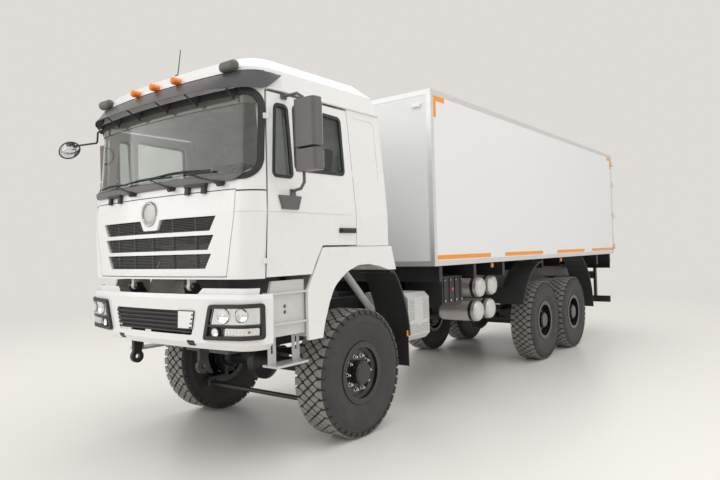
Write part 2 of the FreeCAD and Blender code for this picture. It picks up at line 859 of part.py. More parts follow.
# Rear doors with lock bars, hung on pins outside the corner profiles
leaf = block(
    (4.5, S.box_half - S.post - S.run),
    (S.box_rear - S.post + 2, S.box_rear - 2),
    (S.box_low + S.post + S.run, S.box_high - S.post - S.run),
)
hinges = []
for z in (1800, 2450, 3100, 3540):
    strap = block(
        (1040, S.box_hinge_x - 2), (S.box_rear - 3, S.box_hinge_y + 6), (z - 40, z + 40)
    )
    hinges.append(strap)
    hinges.append(rod("z", S.box_hinge_x, S.box_hinge_y, z - 40, 13, 80))
strap_gap = block(
    (S.box_half - S.post - S.run, S.box_half + 100), (S.box_rear - 60, S.box_rear + 6), (1600, 3700)
)
bars = []
for x in (330, 860):
    bars.append(rod("z", x, S.box_rear + 24, S.box_low + S.post + 20, 13.5, 1900))
    for z in (1790, 2300, 2900, 3520):
        bars.append(block((x - 45, x + 45), (S.box_rear - 3, S.box_rear + 26), (z - 22, z + 22)))
    bars.append(block((x - 15, x + 190), (S.box_rear + 18, S.box_rear + 34), (2200, 2226)))
door = join(leaf, cut(join(*hinges), strap_gap), *bars)
node("box_door_left", door)
node("box_door_right", mirror(door))


# Cab. Its skin is lofted through outlines seen from above: a bowed front, round
# corners and flat sides. Walls, doors and glass are all cut from this one form.
def plan_outline(z, half, nose, rear, bow, corner):
    """One level of the cab as a fully tied sketch."""
    sketch = doc.addObject("Sketcher::SketchObject", "Level")
    big = number(bow)
    small = number(corner)
    wide = number(half)
    middle = number(nose) + big
    lean = math.asin((wide - small) / (big - small))
    side_y = middle - math.sqrt((big - small) ** 2 - (wide - small) ** 2)
    up = Vector(0, 0, 1)
    down = math.radians(270)
    rear_y = number(rear)

    def arc(x, y, radius, low, high):
        return Part.ArcOfCircle(Part.Circle(Vector(x, y, 0), up, radius), low, high)

    def line(x1, y1, x2, y2):
        return Part.LineSegment(Vector(x1, y1, 0), Vector(x2, y2, 0))

    for piece in (
        line(wide, rear_y, -wide, rear_y),
        line(-wide, rear_y, -wide, side_y),
        arc(small - wide, side_y, small, math.pi, down - lean),
        arc(0, middle, big, down - lean, down + lean),
        arc(wide - small, side_y, small, down + lean, 2 * math.pi),
        line(wide, side_y, wide, rear_y),
    ):
        sketch.addGeometry(piece, False)
    for rule in (
        Sketcher.Constraint("Coincident", 0, 2, 1, 1),
        Sketcher.Constraint("Tangent", 1, 2, 2, 1),
        Sketcher.Constraint("Tangent", 2, 2, 3, 1),
        Sketcher.Constraint("Tangent", 3, 2, 4, 1),
        Sketcher.Constraint("Tangent", 4, 2, 5, 1),
        Sketcher.Constraint("Coincident", 5, 2, 0, 1),
        Sketcher.Constraint("Horizontal", 0),
        Sketcher.Constraint("Vertical", 1),
        Sketcher.Constraint("Vertical", 5),
        Sketcher.Constraint("PointOnObject", 3, 3, -2),
    ):
        sketch.addConstraint(rule)
    for rule, size in (
        (Sketcher.Constraint("DistanceX", -1, 1, 0, 1, wide), half),
        (Sketcher.Constraint("DistanceX", -1, 1, 0, 2, -wide), -half),
        (Sketcher.Constraint("DistanceY", -1, 1, 0, 1, rear_y), rear),
        (Sketcher.Constraint("DistanceY", -1, 1, 3, 3, middle), nose + bow),
        (Sketcher.Constraint("Radius", 2, small), corner),
        (Sketcher.Constraint("Radius", 3, big), bow),
        (Sketcher.Constraint("Radius", 4, small), corner),
    ):
        slot = sketch.addConstraint(rule)
        if isinstance(size, Size):
            sketch.setExpression("Constraints[%d]" % slot, size.text)
    place(sketch, 0, 0, z)
    return sketch


def loft(levels, inset, bow, corner):
    """Solid through the given levels, drawn in by the inset all round."""
    item = doc.addObject("Part::Loft", "Loft")
    sections = []
    for z, half, nose, rear in levels:
        section = plan_outline(
            z, half - inset, nose + inset, rear - inset, bow - inset, corner - inset
        )
        sections.append(section)
    item.Sections = sections
    item.Solid = True
    item.Ruled = True
    return item


def level(name):
    return tuple(getattr(S, "cab_%s_%s" % (name, part)) for part in ("z", "half", "nose", "rear"))


foot, crease, belt, head = level("foot"), level("crease"), level("belt"), level("head")


def body_levels(over):
    """Levels of the cab body, run on past both ends by the given length."""
    low = (foot[0] - over,) + foot[1:]
    high = (head[0] + over,) + head[1:]
    return [low, crease, belt, high]


def skin(inset):
    return loft(body_levels(20 if number(inset) else 0), inset, S.cab_bow, S.cab_corner)


outer = skin(Size(0, "0"))
inner = skin(S.cab_wall)
shell = cut(outer, inner)


def door_shape(grow):
    """Side view of the door, drawn out by the given gap."""
    return [
        (S.door_front_low - grow, S.door_low - (grow + grow) * 5),
        (S.door_front_low + 26 - grow, S.crease_z),
        (S.door_front_high - grow, S.door_high + grow),
        (S.door_rear_high + grow, S.door_high + grow),
        (S.door_rear_low + grow, S.crease_z),
        (S.door_rear_low + grow, S.arch_high + 10 - grow),
        (S.fender_nose_y, S.arch_high + 10 - grow),
        (S.fender_nose_y - 45 - grow, S.fender_nose_z - 41),
        (-700 - grow, S.arch_high - 150),
        (-744 - grow, S.door_low - (grow + grow) * 5),
    ]


door_block = prism("yz", door_shape(none), 1000, 1400)
door_hole = prism("yz", door_shape(S.run), 1000, 1400)
vent_window = [(-1200, 2480), (-1150, 3100), (-1000, 3100), (-962, 2480)]
main_window = [(-925, 2552), (-925, 3120), (-290, 3100), (-258, 2560)]


def window(points, shrink):
    """A side window as a pad across the door, drawn in by the given gap."""
    middle_y = sum(p[0] for p in points) / len(points)
    middle_z = sum(p[1] for p in points) / len(points)
    corners = []
    for a, b in points:
        corners.append(
            (a + shrink if a < middle_y else a - shrink, b + shrink if b < middle_z else b - shrink)
        )
    return prism("yz", corners, 1000, 1400, 45)


# Door hinges: a lug on the door stands on a lug of the pillar, on one slanted axis
def on_hinge(z):
    """Point of the left door's hinge axis at a height."""
    share = (z - number(S.door_low)) / (number(S.door_high) - number(S.door_low))
    x = number(S.hinge_x_low) + share * (number(S.hinge_x_high) - number(S.hinge_x_low))
    low_y = number(S.door_front_low) - number(S.run) / 2
    high_y = number(S.door_front_high) - number(S.run) / 2
    return (x, low_y + share * (high_y - low_y), z)


def hinge_lug(low, high, side):
    """Barrel on the hinge axis with a foot on the skin ahead or behind it."""
    x, y, z = on_hinge((low + high) / 2)
    barrel = bar(on_hinge(low), on_hinge(high), S.hinge_r)
    foot_y = (y + 1, y + 34) if side > 0 else (y - 34, y - 1)
    return join(barrel, block((x - 40, x - 2), foot_y, (low + 3, high - 3)))


def pin_room(low, high):
    """Room for the other piece's barrel on the hinge axis."""
    return bar(on_hinge(low - 1), on_hinge(high + 1), S.hinge_r + 2)


door_lugs = join(hinge_lug(1800.3, 1850, 1), hinge_lug(3000.3, 3050, 1))
pillar_lugs = both(join(hinge_lug(1750, 1800, -1), hinge_lug(2950, 3000, -1)))
door_skin = join(cut(common(shell, door_block), pin_room(1750, 1800), pin_room(2950, 3000)), door_lugs)
door_left = cut(door_skin, window(vent_window, none), window(main_window, none))
node("cab_door_left", door_left)
node("cab_door_right", mirror(door_left))

glass_shell = cut(skin(S.glass_in), skin(S.glass_in + S.glass_t))
panes = common(
    glass_shell, join(window(vent_window, S.fit + none), window(main_window, S.fit + none))
)
node("door_glass_left", panes)
node("door_glass_right", mirror(panes))


def flap_shape(grow):
    """Front view of the flap, drawn out by the given gap."""
    right = [
        (S.flap_half_high + grow, S.flap_top + grow),
        (S.flap_half_high - 2 + grow, S.flap_top - 200),
        (S.flap_half_low + grow, S.flap_low - grow),
    ]
    return right + [(-a, b) for a, b in reversed(right)]



def screen_shape(shrink):
    corners = [
        (-S.screen_half + shrink, S.screen_low + shrink),
        (S.screen_half - shrink, S.screen_low + shrink),
        (S.screen_half - shrink, S.screen_high - shrink),
        (-S.screen_half + shrink, S.screen_high - shrink),
    ]
    return prism("xz", corners, -1700, S.screen_rear - shrink, 150)


flap_hole = prism("xz", flap_shape(S.run), -1800, -1200)
screen_hole = screen_shape(none)
front_zone = block((-1300, 1300), (-1800, -1205), (1500, 3300))
back_zone = block((-1300, 1300), (-215, 700), (S.arch_high, 3300))
pin_rooms = both(join(pin_room(1800, 1850), pin_room(3000, 3050)))
cab_front = cut(common(shell, front_zone), both(door_hole), flap_hole, screen_hole, pin_rooms)
cab_front = join(cab_front, pillar_lugs)
node("cab_front", cab_front)
quarter = prism("yz", [(-130, 2520), (-130, 3140), (250, 3140), (300, 2520)], 1000, 1400, 60)
quarter_recess = common(cut(skin(-S.recess), skin(S.recess + none)), quarter)
cab_back = cut(common(shell, back_zone), both(join(door_hole, quarter_recess)))
node("cab_back", cab_back)
windscreen = common(glass_shell, screen_shape(S.fit + none))
node("windscreen", windscreen)

# Front flap with three wide slots
slots = []
for z_low, z_high, half_low, half_high in (
    (2039, 2161, 792, 867),
    (1879, 2003, 764, 836),
    (1720, 1845, 729, 803),
):
    points = [(-half_low, z_low), (half_low, z_low), (half_high, z_high), (-half_high, z_high)]
    slots.append((points, z_low, z_high))
flap_block = prism("xz", flap_shape(none), -1800, -1200)
slot_holes = [prism("xz", points, -1800, -1200) for points, low, high in slots]
badge_place = prism("xz", [(-190, 2240), (-105, 2068), (105, 2068), (190, 2240)], -1800, -1200, 18)
slot_holes[0] = cut(slot_holes[0], badge_place)
flap = cut(common(shell, flap_block), *slot_holes)
node("front_flap", flap)


def drawn_in(points, gap):
    middle = sum(p[1] for p in points) / len(points)
    return [
        (a + gap if a < 0 else a - gap, b + gap if b < middle else b - gap) for a, b in points
    ]


grille_core = cut(skin(S.glass_in), skin(S.cab_wall - 8))
badge_room = prism("xz", [(-191, 2240), (-106, 2067), (106, 2067), (191, 2240)], -1800, -1200)
grille_parts = []
for points, low, high in slots:
    ribs = []
    insert = prism("xz", drawn_in(points, 0.3), -1800, -1200)
    for step in range(9):
        z = low + 6 + step * 14
        if z < high - 8:
            ribs.append(block((-1000, 1000), (-1800, -1200), (z, z + 6)))
    for x in (-600, -300, 0, 300, 600):
        ribs.append(block((x - 5, x + 5), (-1800, -1200), (low - 5, high + 5)))
    grille_parts.append(common(grille_core, insert, cut(join(*ribs), badge_room)))
node("flap_grille", group(*grille_parts))

# Floor with a raised rear part over the wheel arches and the engine
floor_form = skin(S.cab_wall + S.fit)
floor_profile = prism(
    "yz",
    [
        (-1500, S.cab_foot_z + 5),
        (-620, S.cab_foot_z + 5),
        (-620, S.arch_high),
        (400, S.arch_high),
        (400, S.arch_high + S.cab_wall),
        (-680, S.arch_high + S.cab_wall),
        (-680, S.cab_foot_z + 5 + S.cab_wall),
        (-1500, S.cab_foot_z + 5 + S.cab_wall),
    ],
    -1300,
    1300,
)
tunnel = block((-430, 430), (-1160, -640), (S.cab_foot_z + 5, S.arch_high + S.cab_wall))
tunnel_room = block((-370, 370), (-1100, -600), (1500, S.arch_high))
side_gap = both(block((S.cab_foot_half - S.cab_wall - 8, 1400), (-1330, -70), (1500, 2100)))
tilt_lug = both(
    cut(
        join(
            block((415, 455), (S.tilt_y - 34, S.tilt_y + 34), (S.tilt_z, S.cab_foot_z + 10)),
            rod("x", 415, S.tilt_y, S.tilt_z, 40, 40),
        ),
        rod("x", 400, S.tilt_y, S.tilt_z, 20.4, 80),
    )
)
cab_floor = join(
    cut(join(common(floor_form, floor_profile), tunnel), tunnel_room, side_gap), tilt_lug
)
node("cab_floor", cab_floor)


# Roof: lofted cap with a gutter round its foot
def roof_levels(names, drop, over):
    picked = [level(name) for name in names]
    levels = []
    for index, (z, half, nose, rear) in enumerate(picked):
        levels.append((z - (drop if index else over), half, nose, rear))
    return levels


roof_names = ("head", "brow", "edge", "crown")
roof_out = loft(roof_levels(roof_names, none, -S.fit), none, S.cab_bow, S.cab_corner)
roof_in = loft(roof_levels(roof_names, S.cab_wall, 30), S.cab_wall, S.cab_bow, S.cab_corner)
gutter_ring = cut(
    loft(
        [
            (S.cab_top + 4, S.cab_head_half + 14, S.cab_head_nose - 4, S.cab_head_rear + 4),
            (S.cab_top + 18, S.cab_head_half + 14, S.cab_head_nose - 4, S.cab_head_rear + 4),
        ],
        none,
        S.cab_bow,
        S.cab_corner,
    ),
    loft(
        [
            (S.cab_top - 20, S.cab_head_half - 20, S.cab_head_nose + 20, S.cab_head_rear - 20),
            (S.cab_top + 40, S.cab_head_half - 20, S.cab_head_nose + 20, S.cab_head_rear - 20),
        ],
        none,
        S.cab_bow,
        S.cab_corner - 20,
    ),
)
node("cab_roof", join(cut(roof_out, roof_in), gutter_ring))


# Bumper: a bowed skin with a grille opening and two lamp openings
def bumper_levels(inset, over):
    """Levels of the bumper, run on along its own slopes past both ends."""
    rows = (
        (S.bumper_low - over, 1175 - over * 1.09, -1520 + over * 0.73),
        (S.bumper_low + 55, 1235, -1560),
        (S.bumper_high - 40, S.box_half - 30, -1570),
        (S.bumper_high + over, 1240 - over * 0.125, -1562 + over * 0.2),
    )
    return [(z, half, nose, -1235 + Size(0, "0") + inset) for z, half, nose in rows]


bumper_in = loft(bumper_levels(30, 15), S.bumper_t + none, S.cab_bow, S.bumper_corner)
bumper_out = loft(bumper_levels(0, 0), none, S.cab_bow, S.bumper_corner)
grille_hole = prism("xz", [(-608, 1363), (-554, 1155), (554, 1155), (608, 1363)], -1800, -1300, 25)
lamp_hole = prism("xz", [(715, 1130), (1130, 1130), (1160, 1440), (730, 1440)], -1800, -1380, 30)
slot_pair = both(block((484, 584), (-1800, -1300), (1062, 1110)))
bumper = cut(bumper_out, bumper_in, grille_hole, both(lamp_hole), slot_pair)
carriers = both(
    join(
        block((S.rail_x - 60, S.rail_x - 5), (-1504.7, S.rail_front - S.fit), (1180, 1290)),
        block((S.rail_x - 60, S.rail_x - 5), (-1504.7, -1440), (1060, 1425)),
    )
)
behind_skin = loft(bumper_levels(30, 15), S.bumper_t + S.fit, S.cab_bow, S.bumper_corner)
upper_beam = common(block((-685, 685), (-1700, -1440), (1385, 1425)), behind_skin)
lower_beam = common(block((-1300, 1300), (-1700, -1440), (1060, 1100)), behind_skin)
end_beams = both(common(block((1090, 1300), (-1460, -1250), (1060, 1100)), behind_skin))
bar_posts = both(
    join(
        block((565, 600), (-1470, -1441), (1410, 1450)),
        block((235, 270), (-1470, -1441), (1410, 1450)),
    )
)
node("front_bumper", bumper)
tow_eye = cut(
    join(
        rod("x", 490, -1400, 865, 62, 40),
        prism("yz", [(-1440, 900), (-1360, 900), (-1300, 1180), (-1440, 1180)], 490, 530),
        block((375, 530), (-1440, -1300), (1150, 1200)),
    ),
    rod("x", 480, -1400, 865, S.tow_bore_r, 80),
)
beam = join(carriers, upper_beam, lower_beam, end_beams, bar_posts, both(tow_eye))

# Dark grille in the bumper, and the step bar above it
grille_ribs = []
for z in (1175, 1212, 1249, 1286, 1323):
    grille_ribs.append(block((-600, 600), (-1552, -1520), (z, z + 14)))
grille_back = block((-600, 600), (-1520, -1505), (1165, 1355))
grille_form = prism("xz", [(-598, 1358), (-546, 1160), (546, 1160), (598, 1358)], -1600, -1400)
node("bumper_grille", common(grille_form, join(grille_back, *grille_ribs)))
step_bar = prism(
    "yz", [(-1475, 1442), (-1405, 1442), (-1405, 1500), (-1475, 1500)], -640, 640, 12
)
ears = []
for x in (360, 461):
    ear = join(
        prism(
            "yz",
            [
                (S.tilt_y - 36, S.tilt_z - 6),
                (S.tilt_y + 36, S.tilt_z - 6),
                (-1200, 1300.3),
                (-1330, 1300.3),
            ],
            x,
            x + 48,
        ),
        rod("x", x, S.tilt_y, S.tilt_z, 36, 48),
    )
    ears.append(ear)
tilt_pin = rod("x", 350, S.tilt_y, S.tilt_z, 20, 168)
ears.append(block((350, 515), (-1330, -1200), (1300.3, 1316)))
step_bar = cut(step_bar, both(block((352, 518), (-1500, -1380), (1400, 1560))))
# Posts on the rails that carry the fenders and the back of the cab
fender_posts = []
for y, top in ((-265, 1700), (330, S.arch_high - S.fit)):
    fender_posts.append(block((352, 428), (y, y + 70), (1300.3, top)))
fender_posts.append(block((352, 759.7), (-265, -235), (1630, 1690)))
fender_posts.append(block((352, 759.7), (345, 375), (1630, 1680)))
node(
    "front_brackets",
    group(join(beam, step_bar), both(join(tilt_pin, *ears)), both(join(*fender_posts))),
)

# Headlamp units: dark frame with a round lamp pair and a low lamp
lamp_form = cut(
    loft(bumper_levels(30, 5), S.bumper_t + S.fit, S.cab_bow, S.bumper_corner),
    loft(bumper_levels(60, 40), S.bumper_t + 90, S.cab_bow, S.bumper_corner - 60),
)
lamp_zone = block((690, 1185), (-1800, -1395), (1118, 1452))
pockets = join(
    rod("y", 835, -1700, 1350, 72, 220),
    rod("y", 1020, -1700, 1350, 72, 280),
    rod("y", 830, -1700, 1205, 50, 260),
)
headlamp = cut(common(lamp_form, lamp_zone), pockets)
node("headlamp_frames", both(headlamp))
lens_set = join(
    rod("y", 835, -1530, 1350, 68, 49.7),
    rod("y", 1020, -1480, 1350, 68, 59.7),
    rod("y", 830, -1490, 1205, 46, 49.7),
)
node("headlamps", both(lens_set))

# White fenders over the front wheels, with the leg down to the side step
arch_edge = [
    (573, 1631),
    (440, 1631),
    (282, 1674),
    (96, 1702),
    (-82, 1697),
    (-255, 1637),
    (-437, 1514),
    (-514, 1371),
    (-590, 1180),
    (-618, 1060),
]
fender_out = [
    (-805, 1060),
    (-805, 1500),
    (-735, 1624),
    (S.fender_nose_y, S.fender_nose_z),
    (S.fender_nose_y + 35, S.fender_high),
    (496, S.fender_high),
] + arch_edge
fender_skin = prism("yz", fender_out, 1205, 1235, 300, (8, 9, 10, 11, 12))
inner_edge = [(a, b + 22) for a, b in arch_edge[1:5]]
inner_edge += [(a - 14, b + 16) for a, b in arch_edge[5:7]]
inner_edge += [(a - 22, b) for a, b in arch_edge[7:]]
fender_top = prism("yz", arch_edge[1:] + list(reversed(inner_edge)), 760, 1206)
node("front_fenders", both(join(fender_skin, fender_top)))
liner_top = 1631 - S.fit
liner_edge = [
    (483.3, liner_top),
    (545, liner_top),
    (580, 1590),
    (645, 1504),
    (706, 1390),
    (760, 1265),
    (803, 1120),
    (828, 1000),
    (835, 900),
]
liner_back = [(a - 20, b - 6) for a, b in reversed(liner_edge[2:])] + [(483.3, 1602)]
rear_arch = prism("yz", liner_edge + liner_back, 800, 1225)
front_flap_rubber = block((800, 1200), (822, 832), (560, 903))
front_guards = both(join(rear_arch, front_flap_rubber))

# Side steps below the doors: panel with ledges and a hung tread
panel = prism(
    "yz", [(-1235, 1130), (-810, 1130), (-810, 1600), (-1200, 1600), (-1232, 1500)], 1165, 1190
)
ledges = join(
    block((1100, 1225), (-1225, -812), (1486, 1504)),
    block((1100, 1225), (-1225, -812), (1228, 1246)),
)
holes = join(rod("x", 1100, -1050, 1380, 18, 200), rod("x", 1100, -1050, 1330, 18, 200))
hangers = []
for y in (-1050, -752):
    hanger = cut(
        block((1010, 1022), (y - 45, y + 45), (860, 1232)),
        block((1000, 1040), (y - 14, y + 14), (960, 1080)),
    )
    hangers.append(hanger)
tread = block((950, 1130), (-1100, -704), (845, 865))
arms = block((S.rail_x + S.fit, 1170), (-1095, -1015), (1200, 1232))
node("side_steps", both(join(cut(panel, holes), ledges, tread, arms, *hangers)))


# Pieces hung on the sides of the frame
silencer = prism(
    "xz", [(500, 790), (1040, 790), (1100, 850), (1100, 1275), (1040, 1335), (500, 1335)], 987, 1438
)
silencer_arm = block((S.rail_x + S.fit, 560), (1060, 1360), (1100, 1240))
pipe_points = [
    (330.4, 190, 1480),
    (470, 190, 1480),
    (600, 480, 1600),
    (600, 940, 1160),
    (600, 1000, 1130),
]
pipe = [bar(a, b, 42) for a, b in zip(pipe_points, pipe_points[1:])]
pipe_knees = [ball(*spot, 44) for spot in pipe_points[1:4]]
node("silencer_box", join(silencer, silencer_arm, *pipe, *pipe_knees))
battery = block((560, 1100), (1750, 2270), (1140, 1485))
battery_tray = block((S.rail_x + S.fit, 1080), (1740, 2280), (1105, 1140))
ribs = [block((1090, 1110), (y, y + 26), (1160, 1465)) for y in (1790, 1930, 2070, 2210)]
node("battery_box", join(battery, battery_tray, *ribs))
tank_in = S.tank_end - S.tank_len
tank_form = lathe(
    [
        (tank_in, 0),
        (tank_in + 4, S.tank_r * 0.55),
        (tank_in + 18, S.tank_r * 0.86),
        (tank_in + 45, S.tank_r),
        (S.tank_end - 45, S.tank_r),
        (S.tank_end - 18, S.tank_r * 0.86),
        (S.tank_end - 4, S.tank_r * 0.55),
        (S.tank_end, 0),
    ]
)
tanks = []
for y, z in ((2853, 1292), (3227, 1299), (2778, 970), (3153, 972)):
    strap = rod("x", S.tank_end - 130, y, z, S.tank_r + 2, 36)
    tanks.append(join(moved(tank_form, 0, y, z), strap))
node("air_tanks", group(*tanks))
def tank_section(grow):
    low, high = 760 - grow, 1280 + grow
    return [(-1100 - grow, low), (-500 + grow, low), (-500 + grow, high), (-1100 - grow, high)]


fuel_tank = prism("xz", tank_section(0), 1500, 2700, 70)
fuel_straps = [prism("xz", tank_section(5), y, y + 60, 74) for y in (1760, 2380)]
filler = rod("z", -900, 1600, 1270, 55, 55)
fuel_arm = block((-560, -S.rail_x - S.fit), (1700, 2500), (1080, 1240))
node("fuel_tank", join(fuel_tank, filler, fuel_arm, *fuel_straps))

# Mudguards of the rear wheels
guard_r = S.tyre_r + 450


def guard(axle, radius, start, end):
    outer = arc(axle, S.tyre_r, radius, start, end, 8)
    inner = arc(axle, S.tyre_r, radius - 20, end, start, 8)
    return prism("yz", outer + inner, 830, 1215)


front_guard = join(
    guard(S.bogie_front, guard_r - 110, 95, 155),
    rod("x", S.rail_x + S.fit, 4078, 1178, 22, 405),
)
rear_guard = join(
    guard(S.bogie_rear, guard_r + 15, 64, 0),
    rod("x", S.rail_x + S.fit, 7158, 1210, 22, 405),
)
node("mudguards", group(front_guards, both(group(front_guard, rear_guard))))

# Rear light board, hangers and underride bar
board = block((-1200, 1200), (8575, 8615), (1330, 1570))
board_arms = both(block((S.rail_x - 70, S.rail_x - 10), (S.rail_rear + S.fit, 8575), (1040, 1400)))
under_bar = block((-1150, 1150), (8690, 8760), (600, 730))
under_arms = both(block((850, 900), (8600, 8690), (640, 1340)))
node("rear_board", join(board, board_arms, under_arms, under_bar))
tail = both(block((650, 849.7), (8600, 8680), (1100, 1260)))
end_lamps = both(block((1120, 1195), (8615.3, 8640), (1340, 1560)))
side_lamps = []
for y in (2969, 5667):
    side_lamps.append(block((1180, 1205), (y - 30, y + 30), (1550, S.box_low - S.fit)))
node("marker_lamps", group(tail, end_lamps, both(group(*side_lamps))))

# Cab fittings
visor_levels = [
    (S.screen_high - 15, 1262, -1635, 300),
    (S.cab_top + 20, 1250, -1590, 300),
    (S.cab_top + 110, 1226, -1500, 300),
]
visor_levels = [tuple(size + none for size in level) for level in visor_levels]
visor_form = cut(
    loft(visor_levels, none, S.cab_bow, S.cab_corner),
    loft(visor_levels, S.glass_t, S.cab_bow, S.cab_corner),
)
visor_zone = prism(
    "yz",
    [(-1700, 3150), (-1600, 3150), (-1280, 3226), (-1110, 3318), (-1110, 3345), (-1700, 3345)],
    -1300,
    1300,
)
visor_body = common(visor_form, visor_zone)
visor_outer = loft(visor_levels, Size(2, "2"), S.cab_bow, S.cab_corner)
roof_form = roof_levels(roof_names, none, none)
roof_skirt = (roof_form[0][0] - 60,) + roof_form[0][1:]
grown_roof = loft([roof_skirt] + roof_form, -S.roof_gap, S.cab_bow, S.cab_corner)
visor_arms = []
for x in (-1000, -600, -200, 200, 600, 1000):
    visor_arms.append(block((x - 9, x + 9), (-1620, -1380), (3232, 3290)))
visor_arms = common(join(*visor_arms), visor_outer)
node("sun_visor", cut(join(visor_body, visor_arms), grown_roof))
lamp_pods = []
for x in (-317, 0, 317):
    front_y = -1500 + abs(x) / 45
    lamp_pods.append(join(rod("y", x, front_y, 3394, 34, 120), ball(x, front_y, 3394, 35)))
node("roof_lamps", cut(group(*lamp_pods), grown_roof))
vent_pods = []
for x in (-960, 960):
    ends = [ball(x + side, -1408, 3408, 45) for side in (-60, 60)]
    vent_pods.append(join(rod("x", x - 60, -1408, 3408, 44, 120), *ends))
node("roof_vents", cut(group(*vent_pods), grown_roof))
aerial_foot = rod("z", 0, S.aerial_foot_y, S.cab_edge_z - 30, 14, 92)
aerial_rod = prism(
    "yz",
    [
        (S.aerial_foot_y - 4, S.cab_edge_z - 20),
        (S.aerial_foot_y + 4, S.cab_edge_z - 20),
        (S.aerial_tip_y + 2.5, S.aerial_tip_z),
        (S.aerial_tip_y - 2.5, S.aerial_tip_z),
    ],
    -3.5,
    3.5,
)
node("roof_aerial", cut(join(aerial_foot, aerial_rod), grown_roof))

mirror_knees = [
    (1225, -975, 2362),
    (1370, -1003, 2376),
    (1418, -1012, 2425),
    (1418, -1012, 3146),
    (1350, -1005, 3188),
    (1215, -1040, 3172),
]
mirror_tube = [bar(a, b, 13) for a, b in zip(mirror_knees, mirror_knees[1:])]
mirror_tube += [ball(*knee, 14) for knee in mirror_knees[1:-1]]
mirror_foot = join(
    prism("yz", [(-1147, 2322), (-880, 2322), (-920, 2206), (-1110, 2206)], 1200, 1262),
    block((1200, 1255), (-1005, -945), (2310, 2380)),
    block((1190, 1238), (-1070, -1010), (3150, 3192)),
)


def mirror_head(x, low, high):
    """Shell with round corners, seen from above."""
    corners = [(x, -1125), (x + 235, -1125), (x + 240, -1005), (x, -1000)]
    return prism("xy", corners, low, high, 38)


mirror_heads = join(mirror_head(1405, 2703, 3100), mirror_head(1412, 2505, 2683))
mirror_set = cut(join(*mirror_tube, mirror_foot, mirror_heads), skin(-S.fit))
node("door_mirrors_left", mirror_set)
node("door_mirrors_right", mirror(mirror_set))

seat_parts = []
for x in (-720, 620):
    seat = join(
        prism("yz", [(-620, 2150), (-130, 2110), (-130, 2250), (-620, 2280)], x - 240, x + 240, 30),
        prism("yz", [(-190, 2200), (-50, 2200), (40, 2880), (-70, 2890)], x - 230, x + 230, 30),
        block((x - 180, x + 180), (-520, -150), (S.arch_high + S.cab_wall + S.fit, 2160)),
    )
    seat_parts.append(seat)
node("seats", group(*seat_parts))
dash = common(
    prism(
        "yz",
        [
            (-1500, 2388),
            (-1500, 2425),
            (-1180, 2425),
            (-1060, 2330),
            (-1090, 2120),
            (-1300, 2080),
            (-1352, 2120),
            (-1352, 2388),
        ],
        -1170,
        1170,
    ),
    skin(S.cab_wall + S.fit),
)
column = bar((620, -1180, 2200), (620, -866, 2493), 32)
wheel_ring = doc.addObject("Part::Torus", "Ring")
wheel_ring.Radius1 = 225
wheel_ring.Radius2 = 16
ring_way = Rotation(Vector(0, 0, 1), Vector(0, 300, 280))
wheel_ring.Placement = Placement(Vector(620, -872, 2488), ring_way)
spoke = doc.addObject("Part::Box", "Spoke")
spoke.Length = 440
spoke.Width = 50
spoke.Height = 16
spoke.Placement = Placement(
    Vector(620, -872, 2488) + ring_way.multVec(Vector(-220, -25, -8)), ring_way
)
node("dashboard", join(dash, column, wheel_ring, spoke))


# Check every object and write one file for each piece
doc.recompute()
bad = []
for item in doc.Objects:
    if "Invalid" in item.State or "Error" in item.State:
        bad.append(item.Name)
if bad:
    raise RuntimeError("objects that failed: " + ", ".join(bad))
for piece in NODES:
    if piece.Shape.isNull() or not piece.Shape.isValid():
        raise RuntimeError("bad shape: " + piece.Label)
    if not piece.Shape.Solids:
        raise RuntimeError("no solid: " + piece.Label)
for piece in NODES:
    piece.Shape.exportStep("parts/" + piece.Label + ".step")
    box = piece.Shape.BoundBox
    print(
        "%-22s solids %3d  x %7.1f %7.1f  y %8.1f %8.1f  z %7.1f %7.1f"
        % (piece.Label, len(piece.Shape.Solids), box.XMin, box.XMax, box.YMin, box.YMax, box.ZMin, box.ZMax)
    )
print(len(NODES), "pieces")
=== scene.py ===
# Looks of the six wheeled box truck: paint, glass, rubber, lamps, tyre tread and
# trim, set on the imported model. Lengths are in metres. -Y is the front, +X the left.
import json
import math

import bmesh
import bpy
from mathutils import Matrix, Vector


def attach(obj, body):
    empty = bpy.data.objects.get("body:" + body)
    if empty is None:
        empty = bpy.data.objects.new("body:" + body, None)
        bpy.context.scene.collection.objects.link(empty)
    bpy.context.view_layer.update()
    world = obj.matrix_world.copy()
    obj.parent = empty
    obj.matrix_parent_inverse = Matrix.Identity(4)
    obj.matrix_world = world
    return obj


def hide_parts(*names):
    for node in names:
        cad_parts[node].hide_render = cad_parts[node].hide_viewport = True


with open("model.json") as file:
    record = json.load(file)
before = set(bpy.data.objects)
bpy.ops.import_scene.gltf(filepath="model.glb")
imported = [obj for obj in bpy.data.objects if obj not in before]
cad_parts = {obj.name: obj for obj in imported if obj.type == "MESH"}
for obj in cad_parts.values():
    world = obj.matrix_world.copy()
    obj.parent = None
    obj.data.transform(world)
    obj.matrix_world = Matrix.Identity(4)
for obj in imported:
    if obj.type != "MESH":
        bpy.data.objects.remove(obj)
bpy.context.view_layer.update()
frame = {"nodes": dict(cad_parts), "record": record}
truck = frame["nodes"]

# Axles along the truck, and the middle of each wheel
FRONT_AXLE = -3.560
MIDDLE_AXLE = FRONT_AXLE + 4.864
REAR_AXLE = FRONT_AXLE + 6.259
TRACK = 1.035
HUB_HEIGHT = 0.630
SIDES = (("left", 1), ("right", -1))


def at(y):
    """Y in the truck's frame from a distance behind the front axle."""
    return y + FRONT_AXLE


